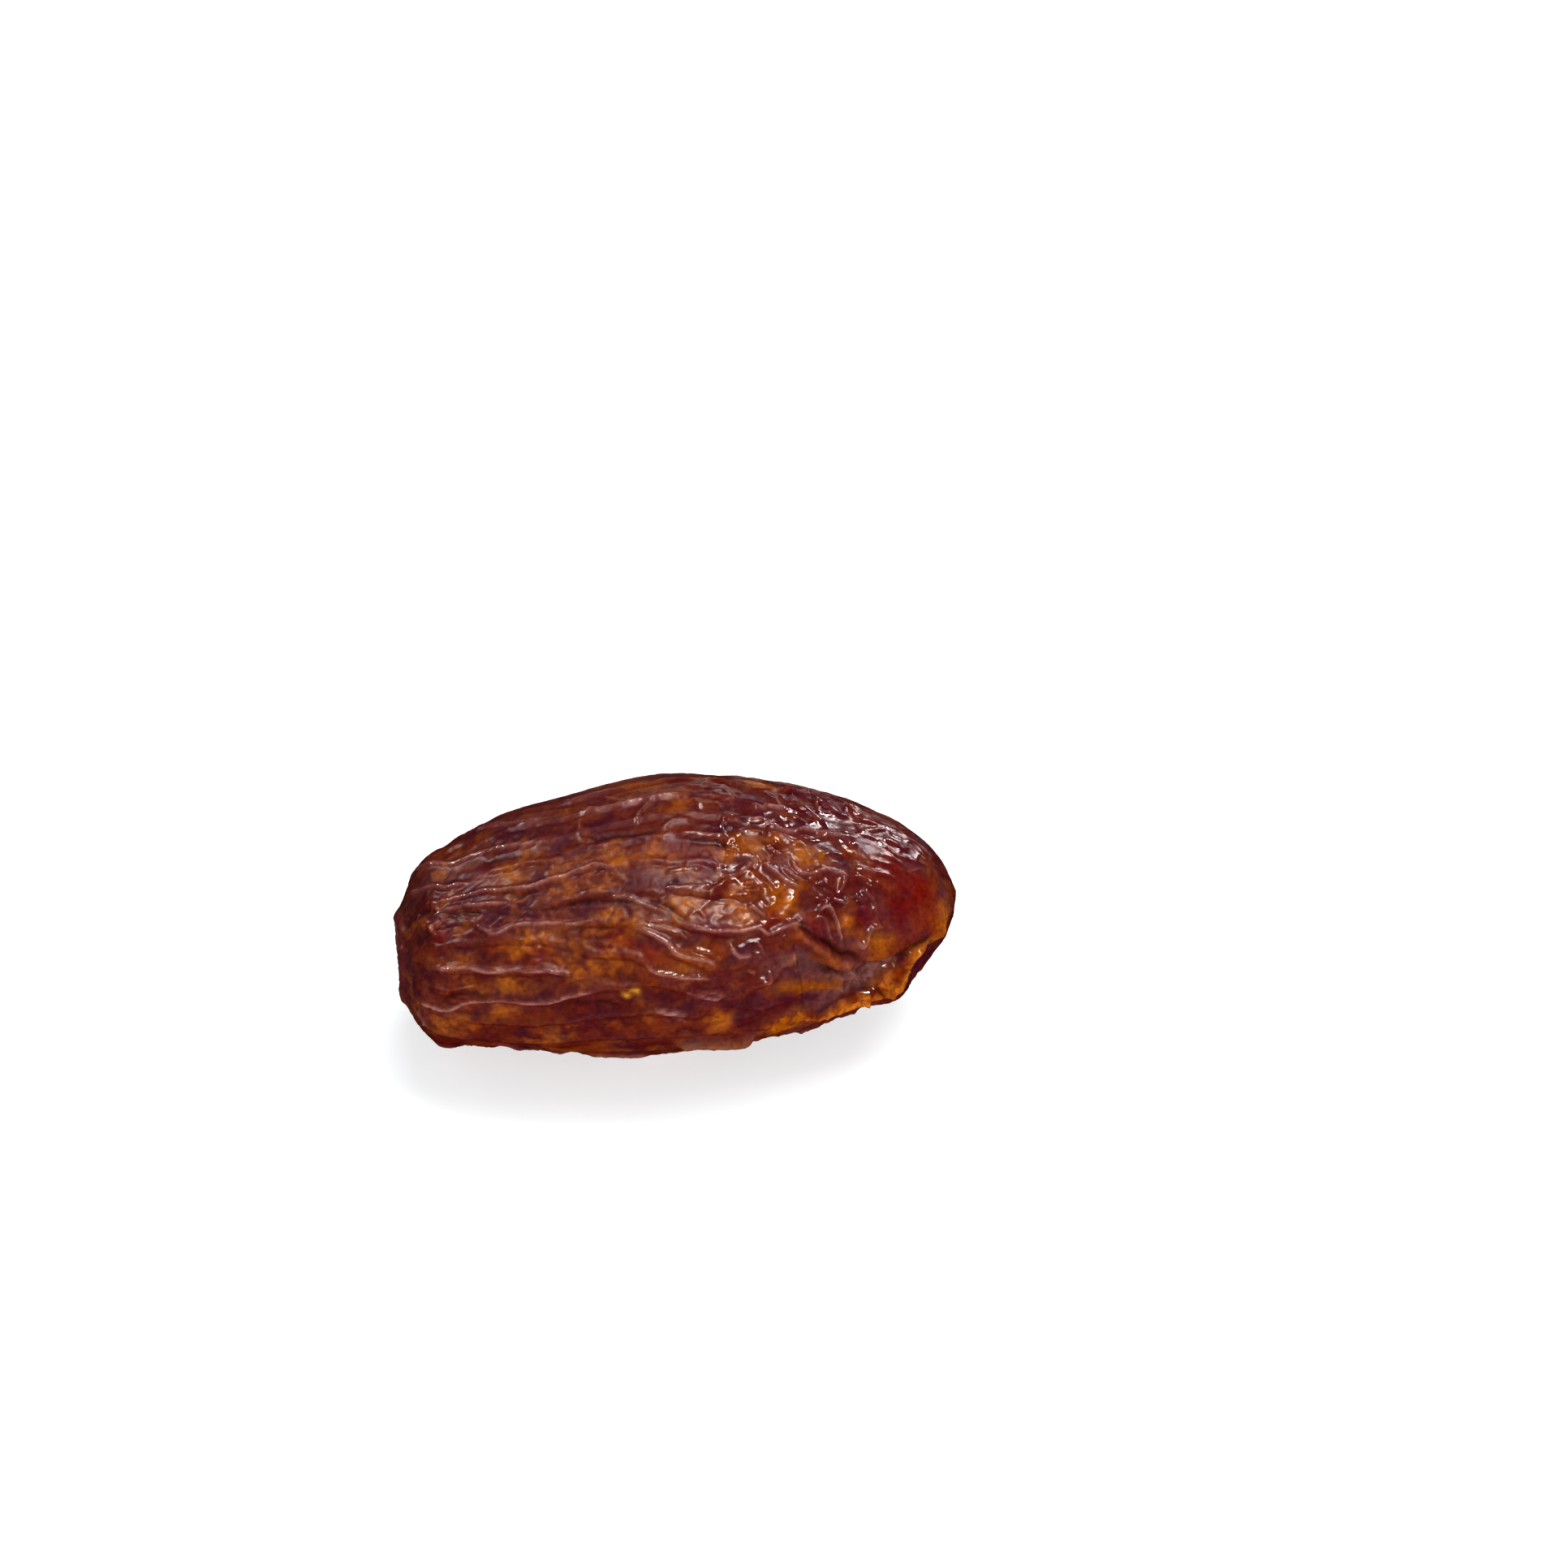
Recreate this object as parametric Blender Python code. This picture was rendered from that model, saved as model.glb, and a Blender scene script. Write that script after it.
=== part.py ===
"""Medjool date, dried on the palm, lying on its flattened underside.

The fruit is one piece. It starts as a sphere whose poles are its two ends. Every point is moved to a blunt,
slightly bent body, and then raised or sunk along the surface normal: by the skin's folds, by the tear near the
tip, and by the scar where the stem was. The lowest points are pressed flat onto the surface.
+X runs from the stem end to the tip, -Y is the side with the tear, and +Z is up. Metres.

Places on the skin are given as (along, turn): along is 0 at the stem end and 1 at the tip, and turn is in degrees
round from the top, growing towards -Y.
"""

import math

import bmesh
import bpy
import numpy as np
from mathutils import Matrix

# Body: its full width, and how far it reaches above and below its axis, at seven stations along it.
LENGTH = 0.0480
STATIONS = (0.00, 0.12, 0.30, 0.48, 0.66, 0.84, 1.00)
WIDTHS = (0.0248, 0.0242, 0.0240, 0.0248, 0.0246, 0.0240, 0.0250)
TOPS = (0.0104, 0.0103, 0.0107, 0.0116, 0.0113, 0.0104, 0.0098)
LOWS = (0.0114, 0.0106, 0.0101, 0.0101, 0.0099, 0.0104, 0.0100)
WIDEST = max(WIDTHS)

# Shape of its ends: how square the section is, how blunt each end is, the swell of the shoulder at the stem end,
# and how far the stem end droops. The axis lies low enough for the underside to be pressed flat.
SQUARENESS = 0.90
STEM_END_FULLNESS = 0.76
TIP_FULLNESS = 0.98
SHOULDER_SWELL = 0.09
SHOULDER_AT = 0.06
SHOULDER_REACH = 0.04
STEM_END_DROP = 0.0015
DROP_FROM = 0.26
AXIS_HEIGHT = 0.0097
PRESSED_FADE = (-0.0002, 0.0010)

# Steps of the mesh, round the girth and from end to end, and how far each point then moves to its neighbours' mean.
GIRTH_STEPS = 104
LENGTH_STEPS = 56
SOFTENING = 0.4

# Folds of the skin: the mean distance from crest to crest, which shrinks towards the ends, their height, and how
# narrow a crest is beside the hollow between two.
FOLD_SPACING = 0.0028
SPACING_POWER = 0.6
LEAST_SPACING = 0.15
FOLD_HEIGHT = 0.00040
FOLD_SHARPNESS = 2.6
FOLD_MEAN = 0.35
FOLD_FADE = (0.1, 0.6)

# Patches of skin in which neighbouring folds run alike: their radius, the step from one to the next, and how far
# their folds swing from lengthwise, in radians, on the straight part and on the curly part near the tip.
PATCH_SIZE = 0.0024
PATCH_STEP = 0.0016
PATCH_RINGS = 38
PATCH_JITTER = 0.3
SETTLING_ROUNDS = 40
STRAIGHT_SWING = 0.12
CURLY_SWING = 0.45
CURLY_FROM = 0.58
SWING_WAVES = ((330.0, 410.0, 260.0), (-520.0, 300.0, 480.0))
SEED = 11

# Crests that can be told apart, each as places on the skin that it passes through.
CRESTS = (
    ((0.03, -40), (0.05, -33), (0.10, -14), (0.15, -10), (0.20, -5), (0.25, -1), (0.30, 1)),
    ((0.11, -45), (0.15, -38), (0.18, -30), (0.20, -26), (0.25, -17), (0.29, -14)),
    ((0.03, -20), (0.05, -8), (0.08, 0), (0.10, 3), (0.14, 4)),
    ((0.05, 8), (0.10, 12), (0.15, 14), (0.20, 18.5), (0.25, 20.5), (0.30, 19), (0.355, 17), (0.40, 26)),
    ((0.06, 17), (0.10, 18), (0.15, 22), (0.20, 27)),
    ((0.13, 31), (0.165, 41), (0.20, 39), (0.25, 40.5), (0.30, 43), (0.34, 42)),
    ((0.05, 57), (0.10, 57.5), (0.15, 62), (0.20, 63), (0.25, 66), (0.30, 69)),
    ((0.035, 84), (0.05, 86), (0.09, 85), (0.14, 81), (0.20, 82.5), (0.25, 81.5), (0.30, 78), (0.355, 76.5)),
    ((0.035, 95), (0.045, 98), (0.05, 103)),
    ((0.30, -28), (0.35, -24), (0.38, -25), (0.43, -28)),
    ((0.33, -12), (0.36, -11), (0.40, -10), (0.45, -10.5), (0.50, -10), (0.535, -9)),
    ((0.475, 6), (0.50, 3), (0.525, 3)),
    ((0.505, 9.5), (0.53, 10.5), (0.56, 11.5), (0.58, 13)),
    ((0.37, 33), (0.39, 34), (0.42, 38), (0.46, 43.5)),
    ((0.465, 32), (0.49, 33), (0.52, 33.5), (0.55, 33)),
    ((0.405, 48), (0.43, 51), (0.46, 56.5), (0.48, 62), (0.52, 65.5), (0.55, 69)),
    ((0.47, 48), (0.525, 52), (0.59, 54), (0.615, 53.5), (0.64, 57), (0.68, 53.5), (0.71, 57), (0.735, 67)),
    ((0.415, 64), (0.44, 69.5), (0.475, 72), (0.52, 73), (0.54, 75.5)),
    ((0.485, 79), (0.52, 83), (0.55, 84)),
    ((0.43, 87), (0.455, 88), (0.495, 90)),
    ((0.635, -5), (0.655, -3), (0.68, -4), (0.705, -3.5)),
    ((0.605, 5), (0.63, 4), (0.665, 5), (0.685, 7.5), (0.705, 8.5), (0.735, 6), (0.79, 6.5), (0.83, 4.5)),
    ((0.69, 21.5), (0.70, 27), (0.72, 29.5), (0.75, 28), (0.78, 29.5), (0.783, 33.5), (0.772, 41)),
    ((0.645, 23), (0.65, 28), (0.68, 33.5), (0.70, 37)),
    ((0.605, 43), (0.635, 49)),
    ((0.805, 23.5), (0.835, 26.5), (0.875, 30), (0.90, 36), (0.88, 39), (0.855, 36.5)),
    ((0.81, 37), (0.832, 45), (0.835, 56.5), (0.84, 61)),
    ((0.725, 48.5), (0.745, 47), (0.757, 53), (0.765, 62), (0.77, 66)),
    ((0.79, 63.5), (0.805, 69.5), (0.825, 62), (0.845, 61), (0.88, 63.5)),
    ((0.57, 60), (0.58, 65), (0.605, 65.5)),
)
CREST_HEIGHT = 0.00020
CREST_WIDTH = 0.00075
CREST_HOLD = 0.0012
LINE_END_SHARE = 0.15
LINE_END_HEIGHT = 0.15

# Tear: the skin's torn edge above it, and the lip of skin and flesh that is turned out below it. The flesh drops
# steeply from the edge, and rises slowly to the lip.
TORN_EDGE = (
    (0.680, 93), (0.684, 82), (0.700, 74), (0.720, 74), (0.740, 78), (0.765, 81), (0.787, 79), (0.805, 76.5),
    (0.850, 75.5), (0.900, 74), (0.930, 76), (0.957, 81),
)
LIP = (
    (0.957, 84), (0.925, 87), (0.900, 90), (0.880, 95), (0.860, 100), (0.835, 104), (0.800, 106), (0.765, 109),
    (0.730, 111), (0.700, 106), (0.684, 98),
)
TEAR_REACH = 0.006
TEAR_DEPTH = 0.0015
EDGE_DROP = 0.0006
EDGE_HEIGHT = 0.00045
EDGE_WIDTH = 0.0007
LIP_RISE = 0.0020
LIP_HEIGHT = 0.0007
LIP_WIDTH = 0.0010
LIP_FULL_FROM = 0.2
LIP_FADE_FROM = 0.5
LIP_FADE = 0.6

# Loose rib of skin low on the torn side, where the tear runs out.
RIB = ((0.47, 114), (0.50, 113), (0.54, 116), (0.58, 118), (0.615, 117))
RIB_HEIGHT = 0.0008
RIB_WIDTH = 0.0005

# Broad swells of the body, and hollows where the flesh has shrunk: place, height and radius.
SWELLS = (
    (0.865, 117, 0.0011, 0.0019), (0.30, 52, -0.00035, 0.0050), (0.55, 22, -0.00025, 0.0040),
    (0.20, 172, -0.0003, 0.0050), (0.62, -62, -0.0004, 0.0055), (0.33, -95, -0.0004, 0.0060),
    (0.80, -110, -0.0003, 0.0045), (0.45, -140, -0.0003, 0.0050), (0.12, -70, -0.0003, 0.0045),
)

# Places where the skin is drawn smooth: place, how much of the folds is lost, and radius.
CALM_PLACES = ((0.91, 40, 0.85, 0.0055), (0.99, 0, 0.7, 0.0050), (0.0, 0, 0.6, 0.0030))

# The ends: the stem's scar is a sunken disc in a raised rim, with a pit in the middle, and the tip has a point.
SCAR_RADIUS = 0.0030
SCAR_DEPTH = 0.0007
SCAR_FLOOR_RADIUS = 0.0021
RIM_RADIUS = 0.0035
RIM_WIDTH = 0.0006
RIM_HEIGHT = 0.00035
PIT_RADIUS = 0.0009
PIT_FLOOR_RADIUS = 0.0004
PIT_DEPTH = 0.0007
TIP_POINT = 0.0004
TIP_RADIUS = 0.0007
STEM_END = 0.1
TIP_END = 0.9

SKIN_COLOUR = (0.145, 0.034, 0.012, 1.0)
SKIN_ROUGHNESS = 0.34
SKIN_METALLIC = 0.0


def smooth_step(value, low, high):
    share = np.clip((value - low) / (high - low), 0.0, 1.0)
    return share * share * (3 - 2 * share)


def bump(distance, width):
    return np.exp(-((distance / width) ** 2))


def signed_power(value, power):
    return np.sign(value) * np.abs(value) ** power


def unit(vectors):
    return vectors / np.maximum(np.linalg.norm(vectors, axis=-1, keepdims=True), 1e-12)


def smooth_through(place, knots, values):
    """A smooth curve that has each value at its knot."""
    knots, values = np.array(knots, float), np.array(values, float)
    slopes = np.gradient(values, knots)
    left = np.clip(np.searchsorted(knots, place) - 1, 0, len(knots) - 2)
    span = knots[left + 1] - knots[left]
    share = (place - knots[left]) / span
    level = values[left] + (values[left + 1] - values[left]) * share * share * (3 - 2 * share)
    leaving = slopes[left] * share * (1 - share) ** 2
    arriving = slopes[left + 1] * share * share * (share - 1)
    return level + span * (leaving + arriving)


def body_points(along, turn):
    """Points of the smooth body, before it is pressed flat below. The turn is in radians."""
    axis = 2 * along - 1
    ring = np.sqrt(np.clip(1 - axis * axis, 0, 1))
    girth = ring ** np.where(axis < 0, STEM_END_FULLNESS, TIP_FULLNESS)
    girth = girth * (1 + SHOULDER_SWELL * bump(along - SHOULDER_AT, SHOULDER_REACH))
    upward = signed_power(np.cos(turn), SQUARENESS)
    across = signed_power(np.sin(turn), SQUARENESS)
    top, low = smooth_through(along, STATIONS, TOPS), smooth_through(along, STATIONS, LOWS)
    drop = STEM_END_DROP * (1 - smooth_step(along, -0.05, DROP_FROM))
    z = AXIS_HEIGHT + np.where(upward > 0, top, low) * girth * upward - drop
    y = -smooth_through(along, STATIONS, WIDTHS) / 2 * girth * across
    return np.stack([LENGTH / 2 * axis, y, z], axis=-1)


def body_place(along, turn):
    """One point of the smooth body. The turn is in degrees."""
    return body_points(np.array([along]), np.radians([turn]))[0]


def skin_directions(along, turn):
    """The smooth body's outward direction, the one towards the tip and the one round the girth."""
    step = 0.01
    polar = np.clip(np.arccos(1 - 2 * along), 2 * step, math.pi - 2 * step)
    towards_tip, towards_stem, here = [(1 - np.cos(polar + shift)) / 2 for shift in (step, -step, 0)]
    tipward = unit(body_points(towards_tip, turn) - body_points(towards_stem, turn))
    roundward = unit(body_points(here, turn + step) - body_points(here, turn - step))
    return unit(np.cross(roundward, tipward)), tipward, roundward


def route(places):
    """Closely spaced points of a smooth line over the body through the given places."""
    knots = range(len(places))
    steps = np.linspace(0, len(places) - 1, (len(places) - 1) * 6 + 1)
    along = smooth_through(steps, knots, [place[0] for place in places])
    turn = smooth_through(steps, knots, [place[1] for place in places])
    return body_points(along, np.radians(turn))


def distance_to(line, points, reach):
    """How far each point is from the line, up to the reach, and how far down the line its nearest place is."""
    nearest, down = np.full(len(points), reach), np.zeros(len(points))
    inside = ((points > line.min(axis=0) - reach) & (points < line.max(axis=0) + reach)).all(axis=1)
    chosen = np.flatnonzero(inside)
    for number, (start, step) in enumerate(zip(line[:-1], np.diff(line, axis=0))):
        away = points[chosen] - start
        share = np.clip(away @ step / (step @ step), 0, 1)
        distance = np.linalg.norm(away - share[:, None] * step, axis=1)
        closer = distance < nearest[chosen]
        nearest[chosen[closer]] = distance[closer]
        down[chosen[closer]] = number + share[closer]
    return nearest, down / (len(line) - 1)


def raised_line(places, points, width):
    """A ridge of height 1 along the places, lower at both its ends."""
    distance, down = distance_to(route(places), points, 4 * width)
    ends = smooth_step(down, 0, LINE_END_SHARE) * smooth_step(1 - down, 0, LINE_END_SHARE)
    return bump(distance, width) * (LINE_END_HEIGHT + (1 - LINE_END_HEIGHT) * ends)


def patch_places(chance):
    """Where the patches of skin lie: rings of them, from end to end, a little out of line."""
    alongs, turns = [], []
    for ring in range(PATCH_RINGS):
        polar = math.pi * (ring + 0.5) / PATCH_RINGS
        count = max(4, round(math.pi * WIDEST * math.sin(polar) / PATCH_STEP))
        aside = chance.uniform(-PATCH_JITTER, PATCH_JITTER, (2, count))
        turns.append(2 * math.pi * (np.arange(count) + 0.5 * (ring % 2) + aside[0]) / count)
        alongs.append((1 - np.cos(polar + aside[1] * math.pi / PATCH_RINGS)) / 2)
    return np.concatenate(alongs), np.concatenate(turns)


def fold_patches():
    """The patches of skin: where they are, which way their folds run, and where in a fold they start.

    Patches beside a known crest take their folds from it. The others fall in with their neighbours, so that
    folds run on from patch to patch, fork and end as they do on a dried skin.
    """
    chance = np.random.default_rng(SEED)
    along, turn = patch_places(chance)
    site = body_points(along, turn)
    outward, tipward, roundward = skin_directions(along, turn)
    off_axis = np.hypot(site[:, 1], site[:, 2] - AXIS_HEIGHT)
    spacing = FOLD_SPACING * np.clip(2 * off_axis / WIDEST, LEAST_SPACING, 1) ** SPACING_POWER
    wander = sum(np.sin(site @ wave + shift) for wave, shift in zip(SWING_WAVES, (1.0, 2.0)))
    swing = wander * np.where(along > CURLY_FROM, CURLY_SWING, STRAIGHT_SWING)
    pace = (2 * math.pi / spacing)[:, None]
    wave = pace * (np.cos(swing)[:, None] * roundward + np.sin(swing)[:, None] * tipward)
    state = np.exp(1j * chance.uniform(0, 2 * math.pi, len(site)))
    held = np.full(len(site), CREST_HOLD)
    for places in CRESTS:
        line = route(places)
        distance, down = distance_to(line, site, CREST_HOLD)
        close = np.flatnonzero(distance < held)
        held[close] = distance[close]
        before = np.minimum((down[close] * (len(line) - 1)).astype(int), len(line) - 2)
        across = unit(np.cross(outward[close], line[before + 1] - line[before]))
        across = across * np.where((across * roundward[close]).sum(axis=1) < 0, -1, 1)[:, None]
        wave[close] = pace[close] * across
        state[close] = np.exp(1j * (wave[close] * (site[close] - line[before])).sum(axis=1))
    apart = site[:, None] - site[None]
    nearness = np.exp(-(apart**2).sum(axis=2) / (4 * PATCH_SIZE**2))
    pull = nearness * np.exp(0.5j * ((wave[:, None] + wave[None]) * apart).sum(axis=2))
    for _ in range(SETTLING_ROUNDS):
        pulled = pull @ state
        state = np.where(held < CREST_HOLD, state, pulled / np.abs(pulled))
    return site, wave, state


def fold_heights(points):
    """The skin's folds at points of the smooth body: 1 on a crest, and near 0 in the hollow between two."""
    field, shares = np.zeros(len(points), complex), np.zeros(len(points))
    order = np.argsort(points[:, 0])
    ordered = points[order, 0]
    for site, wave, state in zip(*fold_patches()):
        first, last = np.searchsorted(ordered, (site[0] - 3 * PATCH_SIZE, site[0] + 3 * PATCH_SIZE))
        near = order[first:last]
        apart = points[near] - site
        share = np.exp(-(apart**2).sum(axis=1) / (2 * PATCH_SIZE**2))
        field[near] += share * state * np.exp(1j * (apart @ wave))
        shares[near] += share
    crest = np.exp(FOLD_SHARPNESS * (np.cos(np.angle(field)) - 1))
    return crest * smooth_step(np.abs(field) / shares, *FOLD_FADE)


def within(outline, along, turn):
    """Which places lie inside a closed outline of places."""
    inside = np.zeros(len(along), bool)
    for (a, b), (c, d) in zip(outline, outline[1:] + outline[:1]):
        if b != d:
            inside ^= ((b > turn) != (d > turn)) & (along < a + (turn - b) * (c - a) / (d - b))
    return inside


def tear_relief(along, turn, points):
    """Height of the tear's edge, flesh and lip, and how deep in the open flesh each point lies, from 0 to 1."""
    edge, _ = distance_to(route(TORN_EDGE), points, TEAR_REACH)
    lip, down = distance_to(route(LIP), points, TEAR_REACH)
    sunk = smooth_step(edge, 0, EDGE_DROP) * smooth_step(lip, 0, LIP_RISE) * within(TORN_EDGE + LIP, along, turn)
    lip_share = smooth_step(down, 0, LIP_FULL_FROM) * (1 - LIP_FADE * smooth_step(down, LIP_FADE_FROM, 1))
    rolled_edge = EDGE_HEIGHT * bump(edge, EDGE_WIDTH)
    return rolled_edge + LIP_HEIGHT * bump(lip, LIP_WIDTH) * lip_share - TEAR_DEPTH * sunk, sunk


def end_relief(along, points):
    """Height of the stem's scar and of the point at the tip."""
    from_stem = np.hypot(points[:, 1], points[:, 2] - AXIS_HEIGHT + STEM_END_DROP)
    from_tip = np.hypot(points[:, 1], points[:, 2] - AXIS_HEIGHT)
    scar = RIM_HEIGHT * bump(from_stem - RIM_RADIUS, RIM_WIDTH)
    scar -= SCAR_DEPTH * (1 - smooth_step(from_stem, SCAR_FLOOR_RADIUS, SCAR_RADIUS))
    scar -= PIT_DEPTH * (1 - smooth_step(from_stem, PIT_FLOOR_RADIUS, PIT_RADIUS))
    return (along < STEM_END) * scar + (along > TIP_END) * TIP_POINT * bump(from_tip, TIP_RADIUS)


def skin_points(along, turn):
    """Points of the finished skin. The turn is in degrees."""
    points = body_points(along, np.radians(turn))
    outward = skin_directions(along, np.radians(turn))[0]
    height, sunk = tear_relief(along, turn, points)
    folds = FOLD_HEIGHT * (fold_heights(points) - FOLD_MEAN)
    for places in CRESTS:
        folds += CREST_HEIGHT * raised_line(places, points, CREST_WIDTH)
    for *place, lost, radius in CALM_PLACES:
        folds *= 1 - lost * bump(np.linalg.norm(points - body_place(*place), axis=1), radius)
    height += folds * (1 - sunk) + end_relief(along, points)
    height += RIB_HEIGHT * raised_line(RIB, points, RIB_WIDTH)
    for *place, swell, radius in SWELLS:
        height += swell * bump(np.linalg.norm(points - body_place(*place), axis=1), radius)
    height *= smooth_step(points[:, 2], *PRESSED_FADE)
    points = points + height[:, None] * outward
    points[:, 2] = np.maximum(points[:, 2], 0)
    return points


def skin_material():
    material = bpy.data.materials.new("date_skin")
    material.use_nodes = True
    shader = material.node_tree.nodes["Principled BSDF"]
    shader.inputs["Base Color"].default_value = SKIN_COLOUR
    shader.inputs["Roughness"].default_value = SKIN_ROUGHNESS
    shader.inputs["Metallic"].default_value = SKIN_METALLIC
    return material


def date_fruit(collection):
    """The whole fruit, from a sphere with its poles at the two ends."""
    bm = bmesh.new()
    poles_to_x = Matrix.Rotation(math.pi / 2, 4, "Y")
    bmesh.ops.create_uvsphere(bm, u_segments=GIRTH_STEPS, v_segments=LENGTH_STEPS, radius=1.0, matrix=poles_to_x)
    sphere = np.array([vert.co for vert in bm.verts])
    along = np.clip((sphere[:, 0] + 1) / 2, 0, 1)
    turn = np.degrees(np.arctan2(-sphere[:, 1], sphere[:, 2]))
    for vert, place in zip(bm.verts, skin_points(along, turn)):
        vert.co = place
    free = [vert for vert in bm.verts if vert.co.z > 0]
    bmesh.ops.smooth_vert(bm, verts=free, factor=SOFTENING, use_axis_x=True, use_axis_y=True, use_axis_z=True)
    bmesh.ops.triangulate(bm, faces=bm.faces)
    bmesh.ops.recalc_face_normals(bm, faces=bm.faces)
    mesh = bpy.data.meshes.new("date_fruit")
    bm.to_mesh(mesh)
    bm.free()
    mesh.shade_smooth()
    mesh.materials.append(skin_material())
    fruit = bpy.data.objects.new("date_fruit", mesh)
    collection.objects.link(fruit)
    return fruit


def main():
    for old in list(bpy.data.objects):
        bpy.data.objects.remove(old)
    collection = bpy.data.collections.new("medjool_date")
    bpy.context.scene.collection.children.link(collection)
    date_fruit(collection)


main()
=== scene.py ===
"""Looks of a medjool date: its folded, glossy skin with the tear near the tip, on a pale floor in soft light.

The frame gives the solid. Metres, +X from the stem end to the tip, -Y the side with the tear, +Z up. Places on the
skin are (along, turn): along is 0 at the stem end and 1 at the tip, and turn is in degrees round from the top,
growing towards -Y.
"""

import math

import bpy
import numpy as np
from mathutils import Matrix, Vector, noise


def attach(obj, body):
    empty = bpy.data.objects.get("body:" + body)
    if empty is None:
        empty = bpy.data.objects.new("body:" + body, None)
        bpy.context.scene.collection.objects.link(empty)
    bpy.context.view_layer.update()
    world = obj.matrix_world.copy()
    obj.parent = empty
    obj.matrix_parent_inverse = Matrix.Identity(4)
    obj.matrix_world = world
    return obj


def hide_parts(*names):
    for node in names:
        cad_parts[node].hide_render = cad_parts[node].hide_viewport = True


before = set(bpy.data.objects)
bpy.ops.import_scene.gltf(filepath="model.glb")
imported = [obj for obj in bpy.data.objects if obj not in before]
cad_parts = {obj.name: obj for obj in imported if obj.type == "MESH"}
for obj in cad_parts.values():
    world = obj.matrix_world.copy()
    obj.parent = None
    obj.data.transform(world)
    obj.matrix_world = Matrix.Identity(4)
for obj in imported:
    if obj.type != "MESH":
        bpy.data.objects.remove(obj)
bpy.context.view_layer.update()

# The fruit's body. One soft fruit that dried on the palm and settled under its own weight, so it is blunt, a
# little bent and flat below. It starts as a sphere with its poles at the two ends, with more steps where the
# folds are fine.
LENGTH = 0.0480
STATIONS = (0.00, 0.12, 0.30, 0.48, 0.66, 0.84, 1.00)
WIDTHS = (0.0248, 0.0242, 0.0240, 0.0248, 0.0246, 0.0240, 0.0250)
TOPS = (0.0104, 0.0103, 0.0107, 0.0116, 0.0113, 0.0104, 0.0098)
LOWS = (0.0114, 0.0106, 0.0101, 0.0101, 0.0099, 0.0104, 0.0100)
WIDEST = max(WIDTHS)
SQUARENESS = 0.90
STEM_END_FULLNESS = 0.76
TIP_FULLNESS = 0.98
SHOULDER_SWELL = 0.09
SHOULDER_AT = 0.06
SHOULDER_REACH = 0.04
STEM_END_DROP = 0.0015
DROP_FULL, DROP_GONE = -0.05, 0.26
AXIS_HEIGHT = 0.0097
PRESSED_FADE = (-0.0002, 0.0010)
GIRTH_STEPS = 68
LENGTH_STEPS = 91
SPLITS = 2
FINER_FRONT = 0.50
FRONT = math.radians(45)
FINER_MIDDLE = 0.10
FINER_TIP_HALF = 0.12


def smooth_step(value, low, high):
    share = np.clip((value - low) / (high - low), 0.0, 1.0)
    return share * share * (3 - 2 * share)


def bump(distance, width):
    return np.exp(-((distance / width) ** 2))


def signed_power(value, power):
    return np.sign(value) * np.abs(value) ** power


def unit(vectors):
    return vectors / np.maximum(np.linalg.norm(vectors, axis=-1, keepdims=True), 1e-12)


def smooth_through(place, knots, values):
    """A smooth curve that has each value at its knot."""
    knots, values = np.array(knots, float), np.array(values, float)
    slopes = np.gradient(values, knots)
    left = np.clip(np.searchsorted(knots, place) - 1, 0, len(knots) - 2)
    span = knots[left + 1] - knots[left]
    share = (place - knots[left]) / span
    level = values[left] + (values[left + 1] - values[left]) * share * share * (3 - 2 * share)
    leaving = slopes[left] * share * (1 - share) ** 2
    arriving = slopes[left + 1] * share * share * (share - 1)
    return level + span * (leaving + arriving)


def body_points(along, turn):
    """Points of the smooth body, before it is pressed flat below. The turn is in radians."""
    axis = 2 * along - 1
    ring = np.sqrt(np.clip(1 - axis * axis, 0, 1))
    girth = ring ** np.where(axis < 0, STEM_END_FULLNESS, TIP_FULLNESS)
    girth = girth * (1 + SHOULDER_SWELL * bump(along - SHOULDER_AT, SHOULDER_REACH))
    upward = signed_power(np.cos(turn), SQUARENESS)
    across = signed_power(np.sin(turn), SQUARENESS)
    top, low = smooth_through(along, STATIONS, TOPS), smooth_through(along, STATIONS, LOWS)
    drop = STEM_END_DROP * (1 - smooth_step(along, DROP_FULL, DROP_GONE))
    z = AXIS_HEIGHT + np.where(upward > 0, top, low) * girth * upward - drop
    y = -smooth_through(along, STATIONS, WIDTHS) / 2 * girth * across
    return np.stack([LENGTH / 2 * axis, y, z], axis=-1)


def body_place(along, turn):
    """One point of the smooth body. The turn is in degrees."""
    return body_points(np.array([along]), np.radians([turn]))[0]


def skin_directions(along, turn):
    """The smooth body's outward direction, the one towards the tip and the one round the girth."""
    step = 0.01
    polar = np.clip(np.arccos(1 - 2 * along), 2 * step, math.pi - 2 * step)
    towards_tip, towards_stem, here = [(1 - np.cos(polar + shift)) / 2 for shift in (step, -step, 0)]
    tipward = unit(body_points(towards_tip, turn) - body_points(towards_stem, turn))
    roundward = unit(body_points(here, turn + step) - body_points(here, turn - step))
    return unit(np.cross(roundward, tipward)), tipward, roundward


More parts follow.
